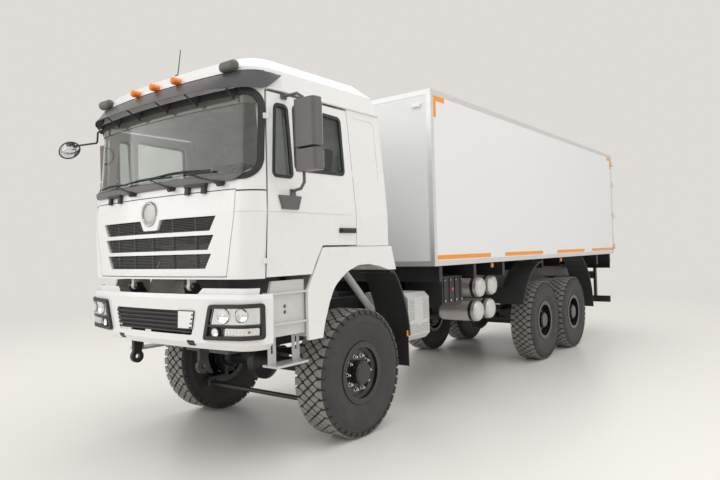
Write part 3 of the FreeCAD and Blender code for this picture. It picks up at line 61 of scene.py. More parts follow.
# Finishes. Each one is mixed from patterns on the object's own coordinates.
DUST_TINT = (0.42, 0.39, 0.35)
WORN_TINT = (0.34, 0.325, 0.30)
COAT_ROUGHNESS = 0.06
RELIEF_STRENGTH = 0.35
GLASS_ROUGHNESS = (0.02, 0.05)


def link(tree, source, target):
    tree.links.new(source, target)


def set_inputs(node, **values):
    """Set a node's inputs by name, with _ for a space."""
    for name, value in values.items():
        node.inputs[name.replace("_", " ")].default_value = value
    return node


def add_node(tree, kind, **values):
    """New node with some of its inputs set."""
    return set_inputs(tree.nodes.new("ShaderNode" + kind), **values)


def start_finish(name):
    material = bpy.data.materials.new(name)
    material.use_nodes = True
    tree = material.node_tree
    shader = tree.nodes["Principled BSDF"]
    spot = add_node(tree, "TexCoord").outputs["Object"]
    return material, tree, shader, spot


def mottle(tree, spot, scale, detail=3.0, stretch=None):
    """Soft noise, stretched along an axis where that is asked for."""
    if stretch:
        mapping = add_node(tree, "Mapping", Scale=stretch)
        link(tree, spot, mapping.inputs["Vector"])
        spot = mapping.outputs["Vector"]
    noise = add_node(tree, "TexNoise", Scale=scale, Detail=detail)
    link(tree, spot, noise.inputs["Vector"])
    return noise.outputs["Fac"]


def spread(tree, value, low, high, start=0.3, end=0.7):
    """Map a pattern onto a range of values."""
    span = add_node(tree, "MapRange", From_Min=start, From_Max=end, To_Min=low, To_Max=high)
    link(tree, value, span.inputs["Value"])
    return span.outputs["Result"]


def blend_colours(tree, factor, first, second):
    """Mix two colours, each given as numbers or as a socket."""
    mix = add_node(tree, "Mix")
    mix.data_type = "RGBA"
    link(tree, factor, mix.inputs[0])
    for socket, colour in ((mix.inputs[6], first), (mix.inputs[7], second)):
        if hasattr(colour, "links"):
            link(tree, colour, socket)
        else:
            socket.default_value = (*colour, 1.0)
    return mix.outputs[2]


def maths(tree, operation, first, second):
    """One sum of two sockets."""
    node = add_node(tree, "Math")
    node.operation = operation
    link(tree, first, node.inputs[0])
    link(tree, second, node.inputs[1])
    return node.outputs["Value"]


def dimple(tree, shader, value, distance):
    """Raise the surface by a pattern."""
    bump = add_node(tree, "Bump", Strength=RELIEF_STRENGTH, Distance=distance)
    link(tree, value, bump.inputs["Height"])
    link(tree, bump.outputs["Normal"], shader.inputs["Normal"])


def finish(
    name, colour, rough=0.4, tone=0.05, grain=9.0, metal=0.0, coat=0.0, relief=0.0006,
    relief_scale=60.0, stretch=None, dust=0.0, dust_top=1.2, worn=0.0,
):
    """Paint, plastic or metal with slight clouding, its own grain and road dust."""
    material, tree, shader, spot = start_finish(name)
    cloud = mottle(tree, spot, grain, 4.0, stretch)
    dark = tuple(c * (1.0 - tone) for c in colour)
    light = tuple(min(1.0, c * (1.0 + tone)) for c in colour)
    tint = blend_colours(tree, spread(tree, cloud, 0.0, 1.0, 0.1, 0.9), dark, light)
    if dust:
        parts = add_node(tree, "SeparateXYZ")
        link(tree, spot, parts.inputs["Vector"])
        low = spread(tree, parts.outputs["Z"], dust, 0.0, 0.0, dust_top)
        patches = spread(tree, mottle(tree, spot, 6.5, 6.0), 0.25, 1.0, 0.35, 0.65)
        tint = blend_colours(tree, maths(tree, "MULTIPLY", low, patches), tint, DUST_TINT)
    if worn:
        tops = add_node(tree, "Attribute")
        tops.attribute_name = "tread_top"
        patches = spread(tree, mottle(tree, spot, 45.0, 4.0), worn * 0.6, worn)
        rubbed = maths(tree, "MULTIPLY", tops.outputs["Fac"], patches)
        tint = blend_colours(tree, rubbed, tint, WORN_TINT)
    link(tree, tint, shader.inputs["Base Color"])
    set_inputs(shader, Metallic=metal, Coat_Weight=coat, Coat_Roughness=COAT_ROUGHNESS)
    cloud = mottle(tree, spot, grain * 2.3, 2.0, stretch)
    gloss = spread(tree, cloud, rough * 0.85, min(1.0, rough * 1.15), 0.0, 1.0)
    link(tree, gloss, shader.inputs["Roughness"])
    dimple(tree, shader, mottle(tree, spot, relief_scale, 3.0, stretch), relief)
    return material


def glass_finish(name, colour):
    """Clear or tinted glass with faint smears."""
    material, tree, shader, spot = start_finish(name)
    cloud = spread(tree, mottle(tree, spot, 5.0, 3.0), 0.0, 1.0)
    dark = tuple(c * 0.94 for c in colour)
    link(tree, blend_colours(tree, cloud, dark, colour), shader.inputs["Base Color"])
    set_inputs(shader, Transmission_Weight=1.0, IOR=1.45)
    haze = mottle(tree, spot, 2.0, 5.0, (1.0, 1.0, 0.3))
    link(tree, spread(tree, haze, *GLASS_ROUGHNESS), shader.inputs["Roughness"])
    return material


def smoked_finish():
    """Smoked acrylic: a dark gloss sheet that lets a little light through."""
    material, tree, shader, spot = start_finish("Smoked visor acrylic")
    cloud = spread(tree, mottle(tree, spot, 3.0, 3.0), 0.0, 1.0)
    colour = blend_colours(tree, cloud, (0.105, 0.107, 0.112), (0.125, 0.127, 0.132))
    link(tree, colour, shader.inputs["Base Color"])
    set_inputs(shader, Transmission_Weight=0.35, IOR=1.35)
    link(tree, spread(tree, mottle(tree, spot, 5.0, 4.0), 0.26, 0.32), shader.inputs["Roughness"])
    return material


# What the coloured lamp lenses have in common
LENS = {"grain": 40.0, "coat": 0.6, "relief": 0.001, "relief_scale": 120}

cab_paint = finish(
    "Cab white paint", (0.80, 0.80, 0.79), 0.27, 0.006, 0.9,
    coat=0.45, relief=0.00006, relief_scale=160.0,
)
box_paint = finish(
    "Box white panel", (0.77, 0.78, 0.78), 0.36, 0.006, 0.9,
    coat=0.15, relief=0.0001, relief_scale=120.0,
)
edge_metal = finish(
    "Brushed aluminium edge", (0.72, 0.73, 0.73), 0.42, 0.05, 14.0, metal=0.75, stretch=(1, 0.2, 1)
)
frame_paint = finish("Chassis black paint", (0.016, 0.016, 0.017), 0.38, 0.2, 8.0, dust=0.06)
rim_paint = finish(
    "Wheel black paint", (0.011, 0.011, 0.012), 0.26, 0.15, 12.0, coat=0.3, relief=0.0003, dust=0.02
)
tyre_rubber = finish(
    "Tyre rubber", (0.034, 0.034, 0.035), 0.66, 0.2, 14.0,
    relief=0.0012, relief_scale=90, dust=0.05, dust_top=2.4, worn=0.85,
)
dark_trim = finish(
    "Black grained plastic", (0.024, 0.024, 0.025), 0.5, 0.12, 18.0, relief=0.0008, relief_scale=400
)
grey_trim = finish("Grey grained plastic", (0.115, 0.11, 0.108), 0.42, 0.08, 12.0, relief_scale=350)
step_metal = finish(
    "Light grey step metal", (0.60, 0.60, 0.59), 0.40, 0.06, 10.0, metal=0.2, dust=0.12
)
tank_paint = finish("Silver tank paint", (0.66, 0.65, 0.63), 0.34, 0.05, 8.0, metal=0.55, dust=0.06)
amber_lens = finish("Amber lamp lens", (0.90, 0.24, 0.01), 0.16, 0.10, **LENS)
cast_grey = finish(
    "Cast engine grey", (0.12, 0.12, 0.12), 0.6, 0.15, 20.0, metal=0.3, relief=0.002, dust=0.2
)
cloth = finish("Seat cloth", (0.16, 0.16, 0.17), 0.9, 0.15, 60.0, relief=0.002, relief_scale=700)
cab_lining = finish(
    "Cab lining grey", (0.68, 0.67, 0.63), 0.75, 0.05, 14.0, relief=0.001, relief_scale=300
)
bright_metal = finish(
    "Bright plated steel", (0.78, 0.78, 0.77), 0.18, 0.06, 30.0, metal=1.0, relief=0.0004
)
reflector_metal = finish(
    "Lamp reflector", (0.90, 0.90, 0.89), 0.10, 0.03, 40.0,
    metal=1.0, relief=0.0012, relief_scale=55.0,
)
mirror_metal = finish(
    "Mirror glass", (0.86, 0.88, 0.88), 0.025, 0.01, 6.0,
    metal=1.0, relief=0.00005, relief_scale=4.0,
)
red_lens = finish("Red lamp lens", (0.62, 0.02, 0.012), 0.16, 0.10, **LENS)
white_lens = finish("White lamp lens", (0.80, 0.78, 0.76), 0.14, 0.05, **LENS)
tape_orange = finish(
    "Orange reflective tape", (0.86, 0.30, 0.006), 0.34, 0.07, 22.0, relief=0.0005, relief_scale=260
)
plate_white = finish(
    "Blank white plate", (0.82, 0.82, 0.80), 0.30, 0.02, 14.0, coat=0.3, relief=0.0003
)
badge_satin = finish("Satin badge disc", (0.46, 0.46, 0.455), 0.34, 0.05, 14.0, metal=0.8)
badge_plating = finish(
    "Badge plating", (0.50, 0.50, 0.49), 0.14, 0.06, 30.0, metal=1.0, relief=0.0003
)
grille_grey = finish("Grille dark grey", (0.050, 0.050, 0.048), 0.5, 0.12, 18.0, relief_scale=400)
seam_dark = finish("Dark panel seam", (0.05, 0.05, 0.05), 0.7, 0.1, 20.0)
# Grey for the pressed lines of the white skin: painted shade in the crease
crease_shade_grey = finish("Pressed line painted shade", (0.50, 0.50, 0.49), 0.4, 0.05, 20.0, coat=0.2)
window_glass = glass_finish("Green tinted glass", (0.93, 0.96, 0.93))
door_glass = glass_finish("Darker door glass", (0.50, 0.56, 0.53))
shade_tint = finish(
    "Tinted shade band", (0.12, 0.125, 0.105), 0.12, 0.10, 3.0, coat=0.5, relief=0.0001
)
lamp_glass = glass_finish("Clear lamp glass", (0.96, 0.97, 0.97))
smoked_acrylic = smoked_finish()

finish_of_slot = {
    "cab_white": cab_paint,
    "box_white": box_paint,
    "box_aluminium": edge_metal,
    "chassis_black": frame_paint,
    "rim_black": rim_paint,
    "tyre_rubber": tyre_rubber,
    "dark_plastic": dark_trim,
    "grey_plastic": grey_trim,
    "step_grey": step_metal,
    "tank_silver": tank_paint,
    "lamp_clear": lamp_glass,
    "lamp_amber": amber_lens,
    "window_glass": window_glass,
    "visor_smoke": smoked_acrylic,
    "seat_cloth": cloth,
    "cab_lining": cab_lining,
    "engine_grey": cast_grey,
}
for part in frame["record"]["subparts"]:
    mesh = truck[part["node"]].data
    mesh.materials.clear()
    mesh.materials.append(finish_of_slot[part["material_slot"]])
truck["flap_grille"].data.materials[0] = grille_grey
for side, _ in SIDES:
    truck["door_glass_" + side].data.materials[0] = door_glass


# Making pieces. A form is built with bmesh, given a finish and set on its body.
SAME_POINT = 0.00001


def piece(name, form, material, body="chassis", smooth=40.0, tidy=True):
    """Turn a form into a piece of a body, shaded smooth up to an angle in degrees."""
    if tidy:
        bmesh.ops.remove_doubles(form, verts=form.verts, dist=SAME_POINT)
        bmesh.ops.recalc_face_normals(form, faces=form.faces)
    mesh = bpy.data.meshes.new(name)
    form.to_mesh(mesh)
    form.free()
    mesh.materials.append(material)
    if smooth:
        mesh.shade_smooth()
        mesh.set_sharp_from_angle(angle=math.radians(smooth))
    item = bpy.data.objects.new(name, mesh)
    bpy.context.scene.collection.objects.link(item)
    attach(item, body)
    return item


def soften(form, geom, width, segments=2, affect="EDGES"):
    """Round edges or corners off."""
    bmesh.ops.bevel(
        form, geom=list(geom), offset=width, offset_type="OFFSET", affect=affect,
        segments=segments, profile=0.5, material=-1, clamp_overlap=True,
    )


def bar_box(form, low, high, edge=0.0, segments=2):
    """Box between two corners, with its edges rounded."""
    made = bmesh.ops.create_cube(form, size=1.0)["verts"]
    size = [b - a for a, b in zip(low, high)]
    middle = [(a + b) / 2 for a, b in zip(low, high)]
    bmesh.ops.scale(form, verts=made, vec=size)
    bmesh.ops.translate(form, verts=made, vec=middle)
    if edge:
        edges = {e for v in made for e in v.link_edges}
        soften(form, edges, edge, segments)


def side_box(form, sign, x_span, y_span, z_span, edge=0.0, segments=2):
    """Box on one side of the truck, placed by distances behind the front axle."""
    x_low, x_high = sorted(sign * x for x in x_span)
    low = (x_low, at(y_span[0]), z_span[0])
    high = (x_high, at(y_span[1]), z_span[1])
    bar_box(form, low, high, edge, segments)


def round_bar(form, start, end, radius, sides=16, radius_end=None):
    """Round bar or cone between two points, with closed ends."""
    way = Vector(end) - Vector(start)
    turn = way.to_track_quat("Z", "Y").to_matrix().to_4x4()
    tip = radius if radius_end is None else radius_end
    place = Matrix.Translation((Vector(start) + Vector(end)) / 2) @ turn
    bmesh.ops.create_cone(
        form, cap_ends=True, segments=sides, radius1=radius, radius2=tip, depth=way.length,
        matrix=place,
    )


def ball(form, place, radius, sides=12, rings=8):
    bmesh.ops.create_uvsphere(
        form, u_segments=sides, v_segments=rings, radius=radius, matrix=Matrix.Translation(place)
    )


def bent_bar(form, points, radius, sides=12):
    """Round bars end to end, with a ball at each knee."""
    for start, end in zip(points, points[1:]):
        round_bar(form, start, end, radius, sides)
    for point in points[1:-1]:
        ball(form, point, radius, sides)


def flat_shape(form, corners, rounds=0.0, segments=6):
    """Face through the corners, with its corners rounded."""
    face = form.faces.new([form.verts.new(corner) for corner in corners])
    if rounds:
        soften(form, face.verts, rounds, segments, "VERTICES")
        face = max(form.faces, key=lambda f: f.calc_area())
    return face


def draw_out(form, faces, push, keep=True):
    """Draw faces out by the push and return the new points. Faces kept close the form."""
    made = bmesh.ops.extrude_face_region(form, geom=faces, use_keep_orig=keep)["geom"]
    verts = [v for v in made if isinstance(v, bmesh.types.BMVert)]
    bmesh.ops.translate(form, verts=verts, vec=push)
    return verts


def plate(corners, push, rounds=0.0, segments=6):
    """New form: a flat plate drawn out by the push."""
    form = bmesh.new()
    draw_out(form, [flat_shape(form, corners, rounds, segments)], push)
    return form


def frame_ring(corners, width, push, rounds=0.0, segments=6):
    """New form: a flat ring of a width inside the corners, drawn out by the push."""
    form = bmesh.new()
    face = flat_shape(form, corners, rounds, segments)
    bmesh.ops.inset_region(
        form, faces=[face], thickness=width, use_even_offset=True, use_boundary=True
    )
    bmesh.ops.delete(form, geom=[face], context="FACES_ONLY")
    draw_out(form, form.faces[:], push)
    return form


def turned_form(form, section, place, axis=(1, 0, 0), steps=48, closed=False):
    """Spin a section of (along, radius) points round an axis through a point."""
    way = Vector(axis).normalized()
    out = Vector((0, 0, 1)) if abs(way.z) < 0.5 else Vector((0, 1, 0))
    verts = [form.verts.new(Vector(place) + way * a + out * r) for a, r in section]
    edges = [form.edges.new(pair) for pair in zip(verts, verts[1:])]
    if closed:
        edges.append(form.edges.new((verts[-1], verts[0])))
    bmesh.ops.spin(
        form, geom=verts + edges, cent=place, axis=way, angle=2 * math.pi, steps=steps,
        use_merge=True,
    )


def spun_piece(name, section, place, axis, steps, material, body="chassis"):
    """Piece that is one spun section."""
    form = bmesh.new()
    turned_form(form, section, place, axis, steps)
    piece(name, form, material, body, 50.0)


# The skins that trim is laid on: height, half width and nose of each level, and the
# radius of the corners seen from above. Both noses have the same bow.
CAB = {
    "levels": (
        (1.630, 1.236, -1.555), (2.180, 1.245, -1.560), (2.440, 1.240, -1.530),
        (3.210, 1.217, -1.470), (3.400, 1.190, -1.445), (3.500, 1.110, -1.350),
    ),
    "corner": 0.220,
}
BUMPER = {
    "levels": (
        (1.040, 1.175, -1.520), (1.095, 1.235, -1.560),
        (1.465, 1.245, -1.570), (1.505, 1.240, -1.562),
    ),
    "corner": 0.190,
}
BOW = 7.0


def skin_at(z, skin=CAB):
    """Half width and nose of a skin at a height."""
    levels = skin["levels"]
    for low, high in zip(levels, levels[1:]):
        if z <= high[0] or high is levels[-1]:
            share = (z - low[0]) / (high[0] - low[0])
            return tuple(a + (b - a) * share for a, b in zip(low[1:], high[1:]))


def skin_point(u, z, out=0.0, skin=CAB):
    """Point on a skin from the distance along it, sideways from its middle."""
    half, nose = skin_at(z, skin)
    corner = skin["corner"]
    middle = nose + BOW
    lean = math.asin((half - corner) / (BOW - corner))
    corner_x = half - corner
    corner_y = middle - math.sqrt((BOW - corner) ** 2 - corner_x**2)
    reach, sign = abs(u), 1 if u >= 0 else -1
    front, turn = BOW * lean, corner * (math.pi / 2 - lean)
    if reach <= front:
        a = reach / BOW
        x, y = (BOW + out) * math.sin(a), middle - (BOW + out) * math.cos(a)
    elif reach <= front + turn:
        a = lean + (reach - front) / corner
        x, y = corner_x + (corner + out) * math.sin(a), corner_y - (corner + out) * math.cos(a)
    else:
        x, y = half + out, corner_y + reach - front - turn
    return Vector((sign * x, at(y), z))


def facing(u, z, skin=CAB):
    """Direction straight out of a skin."""
    return (skin_point(u, z, 0.1, skin) - skin_point(u, z, 0.0, skin)).normalized()


def lay_on_skin(form, out=0.0, step=0.03, skin=CAB):
    """Lay a flat form (X along the skin, -Y its height, Z up) on the front and corners."""
    low = min(v.co.x for v in form.verts)
    high = max(v.co.x for v in form.verts)
    count = int((high - low) / step)
    for index in range(1, count):
        bmesh.ops.bisect_plane(
            form,
            geom=form.verts[:] + form.edges[:] + form.faces[:],
            plane_co=(low + (high - low) * index / count, 0, 0),
            plane_no=(1, 0, 0),
        )
    for v in form.verts:
        v.co = skin_point(v.co.x, v.co.z, out - v.co.y, skin)


def wrap_side(form, out=0.0, sign=1):
    """Lay a form that was made flat, with X as its height over the skin, on a side."""
    for v in form.verts:
        v.co.x = sign * (skin_at(v.co.z)[0] + out + v.co.x)


def upright(corners, sign=1):
    """Points of a flat form from corners given along the skin and in height."""
    return [(sign * u, 0, z) for u, z in corners]


# Tyres: a spun carcass with five staggered rows of tread blocks and lugs down its sides
TYRE_R = 0.629
GROOVE_R = 0.606
BLOCK_STEPS = 40
ROW_MIDDLES = (-0.0625, 0.0, 0.0625)
SIDE_WALL = (
    (0.143, 0.262), (0.148, 0.300), (0.1495, 0.309), (0.156, 0.318), (0.160, 0.335),
    (0.161, 0.342), (0.170, 0.362), (0.179, 0.395), (0.185, 0.430), (0.187, 0.465),
    (0.185, 0.500), (0.1862, 0.504), (0.1862, 0.512), (0.184, 0.516), (0.179, 0.545),
    (0.170, 0.575), (0.160, 0.594), (0.145, 0.6035), (0.070, 0.606),
)
DIAMOND = (
    (-0.047, -0.0055), (-0.008, -0.036), (0.008, -0.036), (0.047, -0.0055),
    (0.047, 0.0055), (0.008, 0.036), (-0.008, 0.036), (-0.047, 0.0055),
)
SHOULDER = (
    (0.072, 0.0), (0.106, -0.032), (0.160, -0.040), (0.160, 0.040), (0.106, 0.032),
)
SHOULDER_MIDDLE = 0.12
# How deep the blocks stand in the carcass, and the size of their tops against their feet
DIAMOND_SUNK, SHOULDER_SUNK = 0.002, 0.012
DIAMOND_TOP, SHOULDER_TOP = (0.90, 0.90), (0.975, 0.93)
SIDE_LUG = (
    (0.154, 0.600), (0.1585, TYRE_R - 0.006), (0.169, 0.612), (0.180, 0.582), (0.177, 0.574),
)
LUG_WIDTH = 0.068
CARCASS_STEPS = 88


def tread_block(form, outline, sunk, middle, shrink):
    """Block from under the groove up to the tyre's radius, drawn in towards its top."""
    worn = form.verts.layers.float["tread_top"]
    foot = form.faces.new([form.verts.new((x, y, GROOVE_R - sunk)) for x, y in outline])
    top = draw_out(form, [foot], (0, 0, TYRE_R - GROOVE_R + sunk), keep=False)
    space = Matrix.Translation((-middle[0], -middle[1], 0))
    bmesh.ops.scale(form, verts=top, vec=(*shrink, 1), space=space)
    for v in top:
        v[worn] = 1.0


def tread_rows():
    """One pitch of the tread: three rows of diamond blocks between two shoulder rows."""
    pitch = 2 * math.pi * TYRE_R / BLOCK_STEPS
    form = bmesh.new()
    form.verts.layers.float.new("tread_top")
    for row, x in enumerate(ROW_MIDDLES):
        shift = 0.0 if row % 2 else pitch / 2
        outline = [(x + a, b + shift) for a, b in DIAMOND]
        tread_block(form, outline, DIAMOND_SUNK, (x, shift), DIAMOND_TOP)
    for side in (-1, 1):
        outline = [(side * a, b) for a, b in SHOULDER]
        middle = (SHOULDER_MIDDLE * side, 0)
        tread_block(form, outline, SHOULDER_SUNK, middle, SHOULDER_TOP)
        corners = [form.verts.new((side * a, -LUG_WIDTH / 2, r)) for a, r in SIDE_LUG]
        draw_out(form, [form.faces.new(corners)], (0, LUG_WIDTH, 0), keep=False)
    for v in form.verts:
        angle, radius = v.co.y / TYRE_R, v.co.z
        v.co.y, v.co.z = radius * math.sin(angle), radius * math.cos(angle)
    bmesh.ops.recalc_face_normals(form, faces=form.faces)
    return form


def add_tyre(where, x, y):
    """Rubber of one wheel, in place of the plain tyre of the model."""
    node = "tyre_" + where
    form = bmesh.new()
    section = list(SIDE_WALL) + [(-a, r) for a, r in reversed(SIDE_WALL)]
    turned_form(form, section, (0, 0, 0), steps=CARCASS_STEPS, closed=True)
    bmesh.ops.recalc_face_normals(form, faces=form.faces)
    blocks = tread_rows()
    step = 2 * math.pi / BLOCK_STEPS
    bmesh.ops.spin(
        blocks, geom=blocks.verts[:] + blocks.edges[:] + blocks.faces[:], cent=(0, 0, 0),
        axis=(1, 0, 0), angle=step * (BLOCK_STEPS - 1), steps=BLOCK_STEPS - 1,
        use_duplicate=True,
    )
    tread = bpy.data.meshes.new("tread")
    blocks.to_mesh(tread)
    blocks.free()
    form.from_mesh(tread)
    bpy.data.meshes.remove(tread)
    bmesh.ops.translate(form, verts=form.verts, vec=(x, y, HUB_HEIGHT))
    tyre = piece("Tyre_" + where, form, tyre_rubber, "wheel_unit_" + where, 28.0, tidy=False)
    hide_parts(node)


# Name, place and distance from the hub's middle out to the wheel's disc of each axle
AXLES = (("front", FRONT_AXLE, 0.096), ("middle", MIDDLE_AXLE, 0.008), ("rear", REAR_AXLE, 0.008))
STUD_COUNT = 10
STUD_CIRCLE_R = 0.1675
# Length, radius, radius at the tip and sides of a washer, a nut and a stud
NUT_FORMS = ((0.006, 0.024, 0.022, 16), (0.030, 0.0195, 0.016, 6), (0.044, 0.010, 0.009, 10))


def add_wheel_nuts(where, sign, y, disc):
    """Bright nuts with washers and studs on the disc."""
    form = bmesh.new()
    for step in range(STUD_COUNT):
        angle = 2 * math.pi * step / STUD_COUNT
        a, b = STUD_CIRCLE_R * math.cos(angle), STUD_CIRCLE_R * math.sin(angle)
        spot = (sign * (TRACK + disc), y + sign * a, HUB_HEIGHT + b)
        for length, radius, tip, sides in NUT_FORMS:
            end = (spot[0] + sign * length, spot[1], spot[2])
            round_bar(form, spot, end, radius, sides, tip)
    piece("Wheel_nuts_" + where, form, bright_metal, "wheel_unit_" + where, 0.0, tidy=False)


for row, y, disc in AXLES:
    for side, sign in SIDES:
        add_tyre(row + "_" + side, sign * TRACK, y)
        add_wheel_nuts(row + "_" + side, sign, y, disc)


# Windscreen: rubber, shade band, cowl, grab brackets and wipers
SCREEN_EDGE = ((-1.302, 2.448), (1.302, 2.448), (1.288, 3.215), (-1.288, 3.215))
SHADE_EDGE = ((-1.245, 3.085), (1.245, 3.085), (1.240, 3.175), (-1.240, 3.175))
COWL_EDGE = ((-1.06, 2.428), (1.06, 2.440), (1.15, 2.500), (-1.12, 2.494))

screen_rubber = frame_ring(upright(SCREEN_EDGE), 0.056, (0, -0.024, 0), 0.175, 10)
lay_on_skin(screen_rubber, -0.016)
piece("Windscreen_rubber", screen_rubber, dark_trim, "cab")

shade = plate(upright(SHADE_EDGE), (0, -0.001, 0))
lay_on_skin(shade, -0.015)
piece("Windscreen_shade_band", shade, shade_tint, "cab")

cowl = plate(upright(COWL_EDGE), (0, -0.026, 0), 0.02)
rims = [e for e in cowl.edges if e.is_manifold and e.calc_face_angle(0) > 1.0]
soften(cowl, rims, 0.008)
lay_on_skin(cowl, -0.002)
piece("Wiper_cowl", cowl, grey_trim, "cab")

for side, (a, b) in (("left", (0.50, 0.76)), ("right", (-0.76, -0.50))):
    bracket = bmesh.new()
    bar_box(bracket, (a, -0.040, 2.412), (b, 0.0, 2.440), 0.006)
    for x in (a + 0.03, b - 0.03):
        bar_box(bracket, (x - 0.026, -0.030, 2.352), (x + 0.026, 0.0, 2.425), 0.006)
    lay_on_skin(bracket, 0.0, 0.08)
    piece("Front_grab_bracket_" + side, bracket, dark_trim, "cab", 30.0)

# Name, place of the knob, ends of the blade along the glass, and its height
WIPERS = (
    ("left", 0.93, 0.79, 0.03, 2.548),
    ("middle", 0.33, 0.31, -0.43, 2.532),
    ("right", -0.27, -0.41, -0.96, 2.526),
)
# Points of the yoke: share of the blade's length, and height over the blade
YOKE = ((0.15, 0.004), (0.36, 0.014), (0.64, 0.014), (0.85, 0.004))
BLADE_STEPS = 8


def add_wiper(name, knob_x, start, end, z):
    """Knob with its arm, the blade and the yoke that holds it."""
    form = bmesh.new()
    reach = end - start
    knob = skin_point(knob_x, 2.428, 0.0)
    round_bar(form, knob, skin_point(knob_x, 2.412, 0.062), 0.024, 16, 0.019)
    head = skin_point(knob_x - 0.075, 2.446, 0.03)
    round_bar(form, head, skin_point(knob_x, 2.420, 0.05), 0.015, 10)
    arm_start = skin_point(knob_x - 0.06, 2.442, 0.036)
    arm_end = skin_point((start + end) / 2 + 0.06, z + 0.004, 0.038)
    round_bar(form, arm_start, arm_end, 0.0065, 8)
    blade = []
    for step in range(BLADE_STEPS + 1):
        bow = 0.006 * math.sin(math.pi * step / BLADE_STEPS)
        blade.append(skin_point(start + reach * step / BLADE_STEPS, z + bow, 0.018))
    bent_bar(form, blade, 0.0085, 6)
    yoke = [skin_point(start + reach * share, z + lift, 0.030) for share, lift in YOKE]
    bent_bar(form, yoke, 0.007, 6)
    piece("Wiper_" + name, form, dark_trim, "cab", 35.0)


for wiper in WIPERS:
    add_wiper(*wiper)


# Doors: rubbers round the windows and handles, laid on the flat side of the cab
VENT = ((-1.200, 2.480), (-1.150, 3.100), (-1.000, 3.100), (-0.962, 2.480))
MAIN = ((-0.925, 2.552), (-0.925, 3.120), (-0.290, 3.100), (-0.258, 2.560))
RUBBER_WIDTH = 0.030


def grown(corners, by):
    """Corners moved outwards from their middle by a distance each way."""
    middle = [sum(c[i] for c in corners) / len(corners) for i in (0, 1)]
    return [tuple(c[i] + (by if c[i] > middle[i] else -by) for i in (0, 1)) for c in corners]


for side, sign in SIDES:
    for name, window in (("Vent", VENT), ("Main", MAIN)):
        corners = [(0, at(y), z) for y, z in grown(window, 0.010)]
        rubber = frame_ring(corners, RUBBER_WIDTH, (0.022, 0, 0), 0.055, 8)
        wrap_side(rubber, -0.017, sign)
        piece("%s_window_rubber_%s" % (name, side), rubber, dark_trim, "door_" + side)

    handle = bmesh.new()
    bar_box(handle, (0.0, at(-0.363), 2.008), (0.012, at(-0.108), 2.056), 0.010)
    bar_box(handle, (0.010, at(-0.345), 2.020), (0.034, at(-0.135), 2.044), 0.008, 3)
    wrap_side(handle, 0.0, sign)
    piece("Door_handle_" + side, handle, dark_trim, "door_" + side)


# Smoked visor over the windscreen, with its struts. Sideways from the middle its reach
# tapers and its lower edge rises, each from a start, over a span and by an amount.
VISOR_HALF = 1.42
VISOR_LOW, VISOR_HIGH = 3.200, 3.360
VISOR_FOOT, VISOR_REACH = 0.010, 0.158
VISOR_BOW = 0.85
VISOR_THICK = 0.004
TAPER_START, TAPER_SPAN, TAPER_BY = 0.80, 0.45, 0.120
RISE_START, RISE_SPAN, RISE_BY = 1.27, 0.15, 0.150
VISOR_STRUTS = (-1.03, -0.61, -0.22, 0.22, 0.61, 1.03)


def add_visor():
    """Bowed sheet from the roof out to a lip, its struts and the seal along its top."""
    form = bmesh.new()
    bmesh.ops.create_grid(form, x_segments=64, y_segments=6, size=1.0)
    for v in form.verts:
        u, s = v.co.x * VISOR_HALF, (1.0 - v.co.y) / 2
        reach = abs(u)
        taper = min(1.0, max(0.0, (reach - TAPER_START) / TAPER_SPAN))
        lip = VISOR_REACH - TAPER_BY * (3 * taper**2 - 2 * taper**3)
        rise = min(1.0, max(0.0, (reach - RISE_START) / RISE_SPAN))
        low = VISOR_LOW + RISE_BY * rise
        z = VISOR_HIGH + (low - VISOR_HIGH) * s
        v.co = skin_point(u, z, VISOR_FOOT + (lip - VISOR_FOOT) * s**VISOR_BOW)
    bmesh.ops.recalc_face_normals(form, faces=form.faces)
    bmesh.ops.solidify(form, geom=form.faces[:], thickness=VISOR_THICK)
    visor = piece("Sun_visor_sheet", form, smoked_acrylic, "cab", 50.0)
    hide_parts("sun_visor")
    for index, u in enumerate(VISOR_STRUTS):
        strut = bmesh.new()
        lip = 0.140 if abs(u) < 1.0 else 0.070
        knee = skin_point(u, 3.125, 0.030)
        spots = [skin_point(u - 0.045, 3.212, lip), knee, skin_point(u + 0.012, 3.205, 0.012)]
        bent_bar(strut, spots, 0.0075, 8)
        ball(strut, knee, 0.013, 10)
        piece("Visor_strut_%d" % (index + 1), strut, dark_trim, "cab")
    edge = bmesh.new()
    bent_bar(edge, [skin_point(-1.26 + 0.07 * i, 3.362, 0.010) for i in range(37)], 0.0035, 6)
    piece("Visor_top_seal", edge, dark_trim, "cab")


add_visor()


# Badge place: a plated ring round a plain disc. Both are spun from (height, radius) points.
BADGE_PLACE = (-0.009, 2.219)
BADGE_RING = (
    (-0.004, 0.092), (0.012, 0.094), (0.017, 0.100),
    (0.017, 0.108), (0.012, 0.114), (-0.004, 0.116),
)
BADGE_DISC = (
    (0.010, 0.0), (0.0098, 0.030), (0.0085, 0.062),
    (0.006, 0.084), (0.002, 0.094), (-0.004, 0.094),
)
for name, section, material, steps in (
    ("Badge_ring", BADGE_RING, badge_plating, 56),
    ("Badge_plain_disc", BADGE_DISC, badge_satin, 48),
):
    place, way = skin_point(*BADGE_PLACE), facing(*BADGE_PLACE)
    spun_piece(name, section, place, way, steps, material, "flap")


# Seams of the cab's skin, and grey strips of painted shade along its pressed lines, level with the
# ground
SEAM_Z, CREASE_Z = 2.356, 2.182
CAB_SPAN = (1.075, 1.333)
DOOR_SPAN = (1.376, 2.455)
SEAM_WIDTH, CREASE_WIDTH = 0.012, 0.004
STRIP_THICK, STRIP_TOP = 0.0016, 0.0012


